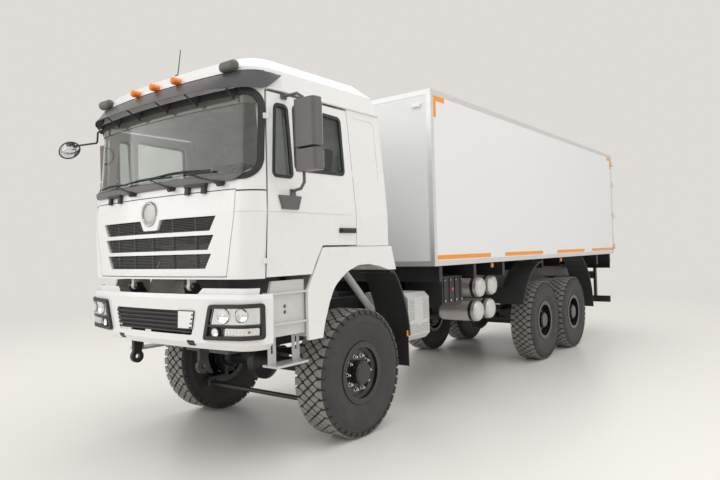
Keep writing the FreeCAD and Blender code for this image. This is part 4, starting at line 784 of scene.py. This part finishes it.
def add_strip(name, span, z, width, material, body, sign):
    """Thin level strip on the skin."""
    low, high = z - width / 2, z + width / 2
    corners = ((span[0], low), (span[1], low), (span[1], high), (span[0], high))
    form = plate(upright(corners, sign), (0, -STRIP_THICK, 0))
    lay_on_skin(form, STRIP_TOP - STRIP_THICK)
    piece(name, form, material, body)


for side, sign in SIDES:
    add_strip("Cab_seam_" + side, CAB_SPAN, SEAM_Z, SEAM_WIDTH, seam_dark, "cab", sign)
    add_strip("Cab_crease_shade_" + side, CAB_SPAN, CREASE_Z, CREASE_WIDTH, crease_shade_grey, "cab", sign)
    door = "door_" + side
    add_strip("Door_crease_shade_" + side, DOOR_SPAN, CREASE_Z, CREASE_WIDTH, crease_shade_grey, door, sign)

# Rubber lips on the cab at the front and the top of each door gap. The front edge of
# the gap is given in height and in distance behind the front axle. A lip's edges are
# given by how far they stop short of the gap.
GAP_FRONT = (
    (1.625, -1.300), (1.900, -1.289), (2.180, -1.277), (2.435, -1.267),
    (2.690, -1.257), (2.950, -1.247), (3.199, -1.237),
)
GAP_TOP_Z = 3.199
GAP_LENGTH = 1.057
LIP_TOP = (3.1996, 3.206)
LIP_SHORT = (0.0006, 0.007)
LIP_STEPS = 6


def reach_at(y, z):
    """Distance along the cab's skin from its middle to where it is as far back as y."""
    near, far = 1.0, 3.0
    for _ in range(30):
        middle = (near + far) / 2
        if skin_point(middle, z).y < at(y):
            near = middle
        else:
            far = middle
    return near


for side, sign in SIDES:
    outer, inner = [], []
    for z, y in GAP_FRONT:
        reach = reach_at(y, z)
        outer.append((reach - LIP_SHORT[1], z))
        inner.append((reach - LIP_SHORT[0], z))
    inner[-1] = (inner[-1][0], LIP_TOP[0])
    outer[-1] = (outer[-1][0], LIP_TOP[1])
    for step in range(1, LIP_STEPS + 1):
        reach = reach_at(GAP_FRONT[-1][1] + GAP_LENGTH * step / LIP_STEPS, GAP_TOP_Z)
        outer.append((reach, LIP_TOP[1]))
        inner.append((reach, LIP_TOP[0]))
    lip = plate(upright(outer + inner[::-1], sign), (0, -STRIP_THICK, 0))
    lay_on_skin(lip, -0.0003)
    piece("Door_gap_lip_" + side, lip, seam_dark, "cab")


# Headlamp units: frame, reflectors, fog lamp and lenses laid on the bumper's corner
def lay_on_bumper(corners, low, high, rounds=0.0, ring=0.0, sign=1):
    """Plate or ring between two heights over the bumper's skin."""
    flat, push = upright(corners, sign), (0, low - high, 0)
    form = frame_ring(flat, ring, push, rounds, 5) if ring else plate(flat, push, rounds, 5)
    lay_on_skin(form, low, 0.045, BUMPER)
    return form


def lamp_dish(u, z, radius, low, sign):
    """Bright dish with a rolled rim and its bulb."""
    u = sign * u
    way, place = facing(u, z, BUMPER), skin_point(u, z, low, BUMPER)
    form = bmesh.new()
    dish = [
        (0.0015, 0.0), (0.002, radius * 0.25), (0.0045, radius * 0.55), (0.009, radius * 0.80),
        (0.015, radius * 0.94), (0.0165, radius), (0.014, radius * 1.05), (0.0, radius * 1.06),
    ]
    turned_form(form, dish, place, way, 40)
    bulb = [(0.015, 0.0), (0.0145, radius * 0.10), (0.012, radius * 0.17), (0.001, radius * 0.20)]
    turned_form(form, bulb, place, way, 16)
    return form


LAMP_FRAME = ((0.794, 1.423), (1.315, 1.434), (1.307, 1.142), (0.710, 1.125))
LAMP_HOLE = ((0.7165, 1.1305), (1.1375, 1.1305), (1.1715, 1.4395), (0.732, 1.4395))
LAMP_BACK = ((0.800, 1.416), (1.308, 1.427), (1.300, 1.149), (0.718, 1.132))
LAMP_BAR = ((0.770, 1.2395), (1.300, 1.248), (1.300, 1.264), (0.776, 1.2555))
UPPER_LENS = ((0.850, 1.400), (1.276, 1.408), (1.272, 1.264), (0.800, 1.2555))
STRIP_LENS = ((0.955, 1.228), (1.266, 1.236), (1.262, 1.172), (0.945, 1.158))
FOG_PLACE = (0.850, 1.192)
FOG_RING = ((0.0, 0.052), (0.018, 0.050), (0.020, 0.045), (0.016, 0.040), (0.004, 0.039))
# Name, place and radius of each dish
DISHES = (("Main", 0.944, 1.333, 0.064), ("High", 1.128, 1.338, 0.055), ("Fog", *FOG_PLACE, 0.036))
RIB_START, RIB_PITCH, RIB_COUNT = 0.975, 0.033, 9
INFILL_EDGE = ((0.600, 1.496), (1.285, 1.496), (1.285, 1.553), (0.660, 1.553))


def add_headlamp(side, sign):
    """One lamp unit, from the plate that fills its opening out to its lenses."""

    def laid(name, material, corners, low, high, rounds=0.0, ring=0.0):
        form = lay_on_bumper(corners, low, high, rounds, ring, sign)
        return piece("%s_%s" % (name, side), form, material)

    laid("Lamp_opening_filling", cab_paint, LAMP_HOLE, -0.010, -0.0003, 0.028)
    laid("Headlamp_back", dark_trim, LAMP_BACK, -0.001, 0.002, 0.02)
    frame_piece = laid("Headlamp_surround", dark_trim, LAMP_FRAME, -0.002, 0.026, 0.03, 0.034)
    laid("Headlamp_bar", dark_trim, LAMP_BAR, 0.001, 0.025)
    laid("Headlamp_reflector_bed", reflector_metal, UPPER_LENS, 0.0005, 0.004, 0.012)
    for name, u, z, radius in DISHES:
        dish = lamp_dish(u, z, radius, 0.003, sign)
        piece("%s_lamp_dish_%s" % (name, side), dish, reflector_metal, smooth=50.0)
    u, z = sign * FOG_PLACE[0], FOG_PLACE[1]
    place, way = skin_point(u, z, 0.002, BUMPER), facing(u, z, BUMPER)
    spun_piece("Fog_lamp_ring_" + side, FOG_RING, place, way, 32, dark_trim)
    laid("Strip_lamp_bed", reflector_metal, STRIP_LENS, 0.0005, 0.005, 0.010)
    ribs = bmesh.new()
    for step in range(RIB_COUNT):
        u = sign * (RIB_START + RIB_PITCH * step)
        start, end = (skin_point(u, z, 0.006, BUMPER) for z in (1.172, 1.226))
        round_bar(ribs, start, end, 0.0045, 8)
    piece("Strip_lamp_ribs_" + side, ribs, reflector_metal)
    bulb = bmesh.new()
    ball(bulb, skin_point(sign * 1.185, 1.203, 0.008, BUMPER), 0.011)
    piece("Turn_lamp_bulb_" + side, bulb, amber_lens, smooth=50.0)
    lens_piece = laid("Headlamp_lens", lamp_glass, UPPER_LENS, 0.0205, 0.0235, 0.012)
    laid("Strip_lamp_lens", lamp_glass, STRIP_LENS, 0.0165, 0.019, 0.010)
    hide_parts("headlamp_frames")
    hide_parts("headlamps")


for side, sign in SIDES:
    add_headlamp(side, sign)
    infill = plate(upright(INFILL_EDGE, sign), (0, -0.004, 0), 0.006)
    lay_on_skin(infill, -0.034, 0.04, BUMPER)
    piece("Bumper_infill_" + side, infill, cab_paint)

# Blank number plate in its rim
NUMBER_EDGE = ((0.403, 1.360), (0.603, 1.360), (0.566, 1.209), (0.389, 1.209))
NUMBER_RIM_EDGE = ((0.397, 1.366), (0.610, 1.366), (0.572, 1.203), (0.383, 1.203))
number_place = plate(upright(NUMBER_EDGE), (0, -0.003, 0), 0.008)
lay_on_skin(number_place, 0.006, 0.05, BUMPER)
piece("Blank_number_place", number_place, plate_white)
number_rim = frame_ring(upright(NUMBER_RIM_EDGE), 0.008, (0, -0.006, 0), 0.008)
lay_on_skin(number_rim, 0.004, 0.05, BUMPER)
piece("Number_place_rim", number_rim, dark_trim)


# Round front mirror on its arm at the cab's right front corner
MIRROR_MIDDLE = (-1.530, at(-1.515), 2.998)
MIRROR_FACE = (0.739, -0.028, -0.674)
MIRROR_SHELL = (
    (0.052, 0.0), (0.048, 0.040), (0.036, 0.076), (0.014, 0.102),
    (-0.006, 0.113), (-0.010, 0.109), (-0.004, 0.100),
)
MIRROR_GLASS = ((-0.010, 0.0), (-0.009, 0.050), (-0.005, 0.088), (-0.002, 0.101), (0.004, 0.101))


def add_front_mirror():
    """Domed shell, glass, and an arm from the cab to the ball joint behind the shell."""
    middle = Vector(MIRROR_MIDDLE)
    back = -Vector(MIRROR_FACE).normalized()
    spun_piece("Front_mirror_shell", MIRROR_SHELL, middle, back, 40, dark_trim, "cab")
    spun_piece("Front_mirror_glass", MIRROR_GLASS, middle, back, 40, mirror_metal, "cab")
    joint = middle + back * 0.052
    spots = [
        skin_point(-1.135, 3.180, 0.0),
        skin_point(-1.140, 3.150, 0.050),
        skin_point(-1.150, 3.060, 0.050),
        skin_point(-1.165, 3.045, 0.062),
        joint + Vector((0.020, 0, 0.004)),
        joint - back * 0.01,
    ]
    arm = bmesh.new()
    bent_bar(arm, spots, 0.010, 10)
    ball(arm, joint, 0.024, 16, 10)
    piece("Front_mirror_arm", arm, dark_trim, "cab", 50.0)


add_front_mirror()

# Name, inner edge, foot and head of each door mirror's shell
DOOR_MIRRORS = (("Large", 1.405, 2.703, 3.100), ("Wide", 1.412, 2.505, 2.683))
GLASS_INSET = 0.016
for side, sign in SIDES:
    for name, x, low, high in DOOR_MIRRORS:
        near = (sign * (x + GLASS_INSET), at(-0.9992))
        far = (sign * (x + 0.222), at(-1.0036))
        low_z, high_z = low + GLASS_INSET, high - GLASS_INSET
        corners = [(*near, low_z), (*far, low_z), (*far, high_z), (*near, high_z)]
        glass = plate(corners, (0, 0.0035, 0), 0.022)
        piece("%s_mirror_glass_%s" % (name, side), glass, mirror_metal, "door_" + side)


# Box: reflective tapes, the profiles' rivets and front lamps
PANEL_X, PROFILE_X = 1.2721, 1.2751
LOW_TAPE, HIGH_TAPE = (1.706, 1.758), (3.575, 3.635)
TAPE_THICK = 0.0008
# Distance from the middle, span behind the front axle and span in height of each tape
TAPES = (
    (PANEL_X, (1.376, 2.783), LOW_TAPE),
    (PANEL_X, (3.238, 4.663), LOW_TAPE),
    (PANEL_X, (5.300, 6.730), LOW_TAPE),
    (PANEL_X, (7.170, 8.601), LOW_TAPE),
    (PROFILE_X, (8.603, 8.660), LOW_TAPE),
    (PANEL_X, (1.376, 1.436), (3.380, 3.635)),
    (PANEL_X, (1.437, 1.638), HIGH_TAPE),
    (PANEL_X, (8.350, 8.539), HIGH_TAPE),
    (PANEL_X, (8.540, 8.601), (3.410, 3.635)),
    (PROFILE_X, (8.610, 8.640), (1.760, 1.975)),
)

# Rivets of the level and upright profiles: lines, starts, pitches and counts
RIVET_ROWS, ROW_START, ROW_PITCH, ROW_COUNT = (1.662, 3.672), 1.40, 0.1524, 48
RIVET_POSTS, POST_START, POST_PITCH, POST_COUNT = (1.344, 8.632), 1.80, 0.157, 12
RIVET_FOOT, RIVET_HEAD = 1.2748, 1.2775


def rivet(form, sign, y, z):
    """Flat domed rivet on a profile of the box."""
    foot, head = (sign * RIVET_FOOT, y, z), (sign * RIVET_HEAD, y, z)
    round_bar(form, foot, head, 0.0055, 8, 0.0035)


def chassis_box(name, material, sign, *spans, edge=0.006, segments=3):
    """Piece on one side of the chassis that is one rounded box."""
    form = bmesh.new()
    side_box(form, sign, *spans, edge, segments)
    piece(name, form, material)


for side, sign in SIDES:
    tapes = bmesh.new()
    for x, y_span, z_span in TAPES:
        side_box(tapes, sign, (x, x + TAPE_THICK), y_span, z_span)
    piece("Side_tapes_" + side, tapes, tape_orange, smooth=0.0, tidy=False)
    rivets = bmesh.new()
    for z in RIVET_ROWS:
        for step in range(ROW_COUNT):
            rivet(rivets, sign, at(ROW_START + ROW_PITCH * step), z)
    for y in RIVET_POSTS:
        for step in range(POST_COUNT):
            rivet(rivets, sign, at(y), POST_START + POST_PITCH * step)
    piece("Profile_rivets_" + side, rivets, edge_metal, smooth=0.0, tidy=False)
    spans = ((1.024, 1.143), (1.290, 1.3165), (3.504, 3.550))
    chassis_box("Box_front_lamp_" + side, white_lens, sign, *spans, edge=0.008)


# Frame sides: tank straps, battery switch and bolts, the silencer's shield, hanging
# reflectors and splash panels
TANK_PLACES = ((2.853, 1.292), (3.227, 1.299), (2.778, 0.970), (3.153, 0.972))
STRAP = ((0.972, 0.1405), (0.972, 0.144), (1.014, 0.144), (1.014, 0.1405))
straps = bmesh.new()
for y, z in TANK_PLACES:
    turned_form(straps, STRAP, (0.0, at(y), z), (1, 0, 0), 56, closed=True)
piece("Tank_straps", straps, frame_paint)

switch = bmesh.new()
round_bar(switch, (1.0995, at(2.003), 1.322), (1.112, at(2.003), 1.322), 0.026, 24, 0.022)
piece("Battery_switch", switch, red_lens)
battery_bolts = bmesh.new()
for y in (1.803, 1.943, 2.083, 2.223):
    for z, radius in ((1.185, 0.013), (1.440, 0.009)):
        round_bar(battery_bolts, (1.1095, at(y), z), (1.1185, at(y), z), radius, 6)
piece("Battery_cover_bolts", battery_bolts, bright_metal, tidy=False)

# Holes of the silencer's shield, in staggered rows, round a long plain field and a band
HOLE_ROWS, HOLE_COLUMNS = 20, 17
HOLE_Y, HOLE_Z = 1.012, 0.868
HOLE_STEP_Y, HOLE_STEP_Z = 0.0245, 0.0205
FIELD_Y, FIELD_Z, FIELD_R, FIELD_STRAIGHT = 1.212, 1.125, 0.088, 0.075
BAND_Z, BAND_HALF = 1.000, 0.012
holes = bmesh.new()
for row in range(HOLE_ROWS):
    for column in range(HOLE_COLUMNS):
        y = HOLE_Y + HOLE_STEP_Y * column + (HOLE_STEP_Y / 2 if row % 2 else 0.0)
        z = HOLE_Z + HOLE_STEP_Z * row
        past = max(0.0, abs(z - FIELD_Z) - FIELD_STRAIGHT)
        if math.hypot(y - FIELD_Y, past) < FIELD_R or abs(z - BAND_Z) < BAND_HALF:
            continue
        round_bar(holes, (1.099, at(y), z), (1.1004, at(y), z), 0.0062, 6)
piece("Silencer_shield_holes", holes, seam_dark, smooth=0.0, tidy=False)
SHIELD_EDGE = ((0.995, 0.858), (1.430, 0.858), (1.430, 1.270), (0.995, 1.270))
shield = frame_ring([(1.100, at(y), z) for y, z in SHIELD_EDGE], 0.010, (0.002, 0, 0), 0.02)
piece("Silencer_shield_rim", shield, step_metal)

for side, sign in SIDES:
    spans, name = ((1.2005, 1.212), (0.790, 0.857), (0.887, 0.952)), "Hanging_reflector_" + side
    chassis_box(name, amber_lens, sign, *spans, edge=0.004, segments=2)

SPLASH_EDGE = ((0.445, 0.955), (1.205, 0.955), (1.205, 1.150), (0.445, 1.270))
for side, sign in SIDES:
    corners = [(sign * x, at(3.978), z) for x, z in SPLASH_EDGE]
    splash = plate(corners, (0, 0.008, 0), 0.02)
    piece("Splash_panel_" + side, splash, dark_trim)


# Lamps on the frame: side markers, end markers and the rear clusters
END_LAMP_X, END_LAMP_Y = (1.122, 1.193), (8.6152, 8.639)
END_LAMPS = (("red", red_lens, (1.342, 1.448)), ("white", white_lens, (1.450, 1.558)))
CLUSTER_LENSES = (red_lens, amber_lens, white_lens)
LENS_START, LENS_PITCH, LENS_WIDTH = 0.662, 0.061, 0.056
for side, sign in SIDES:
    side_lamps, bases = bmesh.new(), bmesh.new()
    for y in (2.969, 5.667):
        y_span, base_span = (y - 0.028, y + 0.028), (y - 0.032, y + 0.032)
        side_box(side_lamps, sign, (1.1845, 1.205), y_span, (1.556, 1.618), 0.006, 3)
        side_box(bases, sign, (1.179, 1.185), base_span, (1.550, 1.6316), 0.002)
    lamps = piece("Side_lamps_" + side, side_lamps, amber_lens)
    piece("Side_lamp_bases_" + side, bases, dark_trim)
    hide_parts("marker_lamps")
    for name, lens, z_span in END_LAMPS:
        spans = (END_LAMP_X, END_LAMP_Y, z_span)
        chassis_box("End_lamp_%s_%s" % (name, side), lens, sign, *spans)
    spans = ((0.650, 0.8495), (8.601, 8.664), (1.102, 1.258))
    chassis_box("Rear_lamp_case_" + side, dark_trim, sign, *spans, edge=0.008)
    for index, lens in enumerate(CLUSTER_LENSES):
        start = LENS_START + LENS_PITCH * index
        spans = ((start, start + LENS_WIDTH), (8.660, 8.679), (1.114, 1.246))
        chassis_box("Rear_lamp_lens_%s_%d" % (side, index + 1), lens, sign, *spans)


# Rear doors: catches at both ends of the lock bars, and the bolts of their guides
for side, sign in SIDES:
    catches = bmesh.new()
    for x in (0.330, 0.860):
        for z in (1.735, 3.585):
            x_span, z_span = (x - 0.050, x + 0.050), (z - 0.030, z + 0.030)
            side_box(catches, sign, x_span, (8.6605, 8.682), z_span, 0.005)
        for z in (1.790, 2.300, 2.900, 3.520):
            for step in (-0.034, 0.034):
                spot = (sign * (x + step), at(8.687), z)
                round_bar(catches, spot, (spot[0], at(8.694), z), 0.007, 6)
    piece("Door_lock_catches_" + side, catches, edge_metal, "rear_door_" + side, tidy=False)


# Studio: pale glossy floor, backdrop, soft lamps and the camera
BACKDROP = (0.735, 0.705, 0.670)
FLOOR_SIZE = 60.0
FADE_START, FADE_END = 7.0, 24.0
SKY_TINT, SKY_STRENGTH = (1.0, 0.985, 0.96), 0.84


def seen_rays(tree):
    """One for camera, gloss and glass rays, nought for the rest."""
    rays = add_node(tree, "LightPath")
    seen = rays.outputs["Is Camera Ray"]
    for name in ("Is Glossy Ray", "Is Transmission Ray"):
        seen = maths(tree, "MAXIMUM", seen, rays.outputs[name])
    return seen


def studio_finish():
    """Glossy pale floor that runs into the backdrop's colour far from the truck."""
    material, tree, shader, spot = start_finish("Pale studio floor")
    cloud = spread(tree, mottle(tree, spot, 0.25, 1.0), 0.0, 1.0, 0.0, 1.0)
    colour = blend_colours(tree, cloud, (0.80, 0.775, 0.745), (0.83, 0.805, 0.775))
    link(tree, colour, shader.inputs["Base Color"])
    gloss = spread(tree, mottle(tree, spot, 0.3, 1.0), 0.28, 0.36, 0.0, 1.0)
    link(tree, gloss, shader.inputs["Roughness"])
    set_inputs(shader, Specular_IOR_Level=0.40)
    distance = add_node(tree, "VectorMath")
    distance.operation = "LENGTH"
    link(tree, spot, distance.inputs[0])
    fade = spread(tree, distance.outputs["Value"], 0.0, 1.0, FADE_START, FADE_END)
    glow = add_node(tree, "Emission", Color=(*BACKDROP, 1.0))
    mix = add_node(tree, "MixShader")
    link(tree, maths(tree, "MULTIPLY", fade, seen_rays(tree)), mix.inputs["Fac"])
    link(tree, shader.outputs["BSDF"], mix.inputs[1])
    link(tree, glow.outputs["Emission"], mix.inputs[2])
    link(tree, mix.outputs["Shader"], tree.nodes["Material Output"].inputs["Surface"])
    return material


floor_mesh = bpy.data.meshes.new("Studio floor")
form = bmesh.new()
bmesh.ops.create_grid(form, x_segments=2, y_segments=2, size=FLOOR_SIZE)
form.to_mesh(floor_mesh)
form.free()
floor_mesh.materials.append(studio_finish())
floor = bpy.data.objects.new("Studio_floor", floor_mesh)
bpy.context.scene.collection.objects.link(floor)


def set_world():
    """Plain light on the object, and the backdrop's colour for what the camera sees."""
    world = bpy.data.worlds.new("Studio")
    bpy.context.scene.world = world
    world.use_nodes = True
    tree = world.node_tree
    tree.nodes.clear()
    out = add_node(tree, "OutputWorld")
    lit = add_node(tree, "Background", Color=(*SKY_TINT, 1.0), Strength=SKY_STRENGTH)
    shown = add_node(tree, "Background", Color=(*BACKDROP, 1.0), Strength=1.0)
    mix = add_node(tree, "MixShader")
    link(tree, seen_rays(tree), mix.inputs["Fac"])
    link(tree, lit.outputs["Background"], mix.inputs[1])
    link(tree, shown.outputs["Background"], mix.inputs[2])
    link(tree, mix.outputs["Shader"], out.inputs["Surface"])


def soft_lamp(name, place, target, size, power):
    """Wide lamp that faces a target."""
    lamp = bpy.data.lights.new(name, "AREA")
    lamp.shape = "RECTANGLE"
    lamp.size, lamp.size_y = size
    lamp.energy = power
    item = bpy.data.objects.new(name, lamp)
    item.location = place
    way = Vector(target) - Vector(place)
    item.rotation_euler = way.to_track_quat("-Z", "Y").to_euler()
    bpy.context.scene.collection.objects.link(item)


# Name, place, target, size and power of each lamp
SOFT_LAMPS = (
    ("Top softbox", (1.0, -1.0, 9.0), (0.0, 0.0, 0.0), (10.0, 16.0), 430),
    ("Front softbox", (-6.0, -14.0, 5.5), (0.0, -2.0, 1.6), (16.0, 9.0), 480),
    ("Side softbox", (12.0, 1.0, 5.5), (0.0, 1.0, 1.6), (12.0, 5.0), 162),
)
set_world()
for lamp in SOFT_LAMPS:
    soft_lamp(*lamp)

# The photograph's camera: place, degrees of yaw, pitch and roll, and focal length
CAMERA_PLACE = (4.8781, -8.2904, 1.8379)
CAMERA_TURNS = (37.8166, 0.9979, -1.5606)
FOCAL_PIXELS, PICTURE_PIXELS = 604.23, 720.0
SENSOR_WIDTH = 36.0


def set_camera():
    """Camera at the photograph's place, turned by its yaw, pitch and roll."""
    yaw, pitch, roll = (math.radians(a) for a in CAMERA_TURNS)
    ahead = Vector(
        (-math.sin(yaw) * math.cos(pitch), math.cos(yaw) * math.cos(pitch), math.sin(pitch))
    )
    level = Vector((math.cos(yaw), math.sin(yaw), 0.0))
    top = level.cross(ahead)
    across = level * math.cos(roll) + top * math.sin(roll)
    upward = top * math.cos(roll) - level * math.sin(roll)
    camera = bpy.data.objects.new("Camera", bpy.data.cameras.new("Camera"))
    bpy.context.scene.collection.objects.link(camera)
    turn = Matrix((across, upward, -ahead)).transposed()
    camera.matrix_world = Matrix.Translation(CAMERA_PLACE) @ turn.to_4x4()
    camera.data.sensor_width = SENSOR_WIDTH
    camera.data.lens = FOCAL_PIXELS / PICTURE_PIXELS * SENSOR_WIDTH
    camera.data.clip_end = 200.0
    bpy.context.scene.camera = camera


set_camera()
bpy.context.scene.view_settings.view_transform = "Standard"
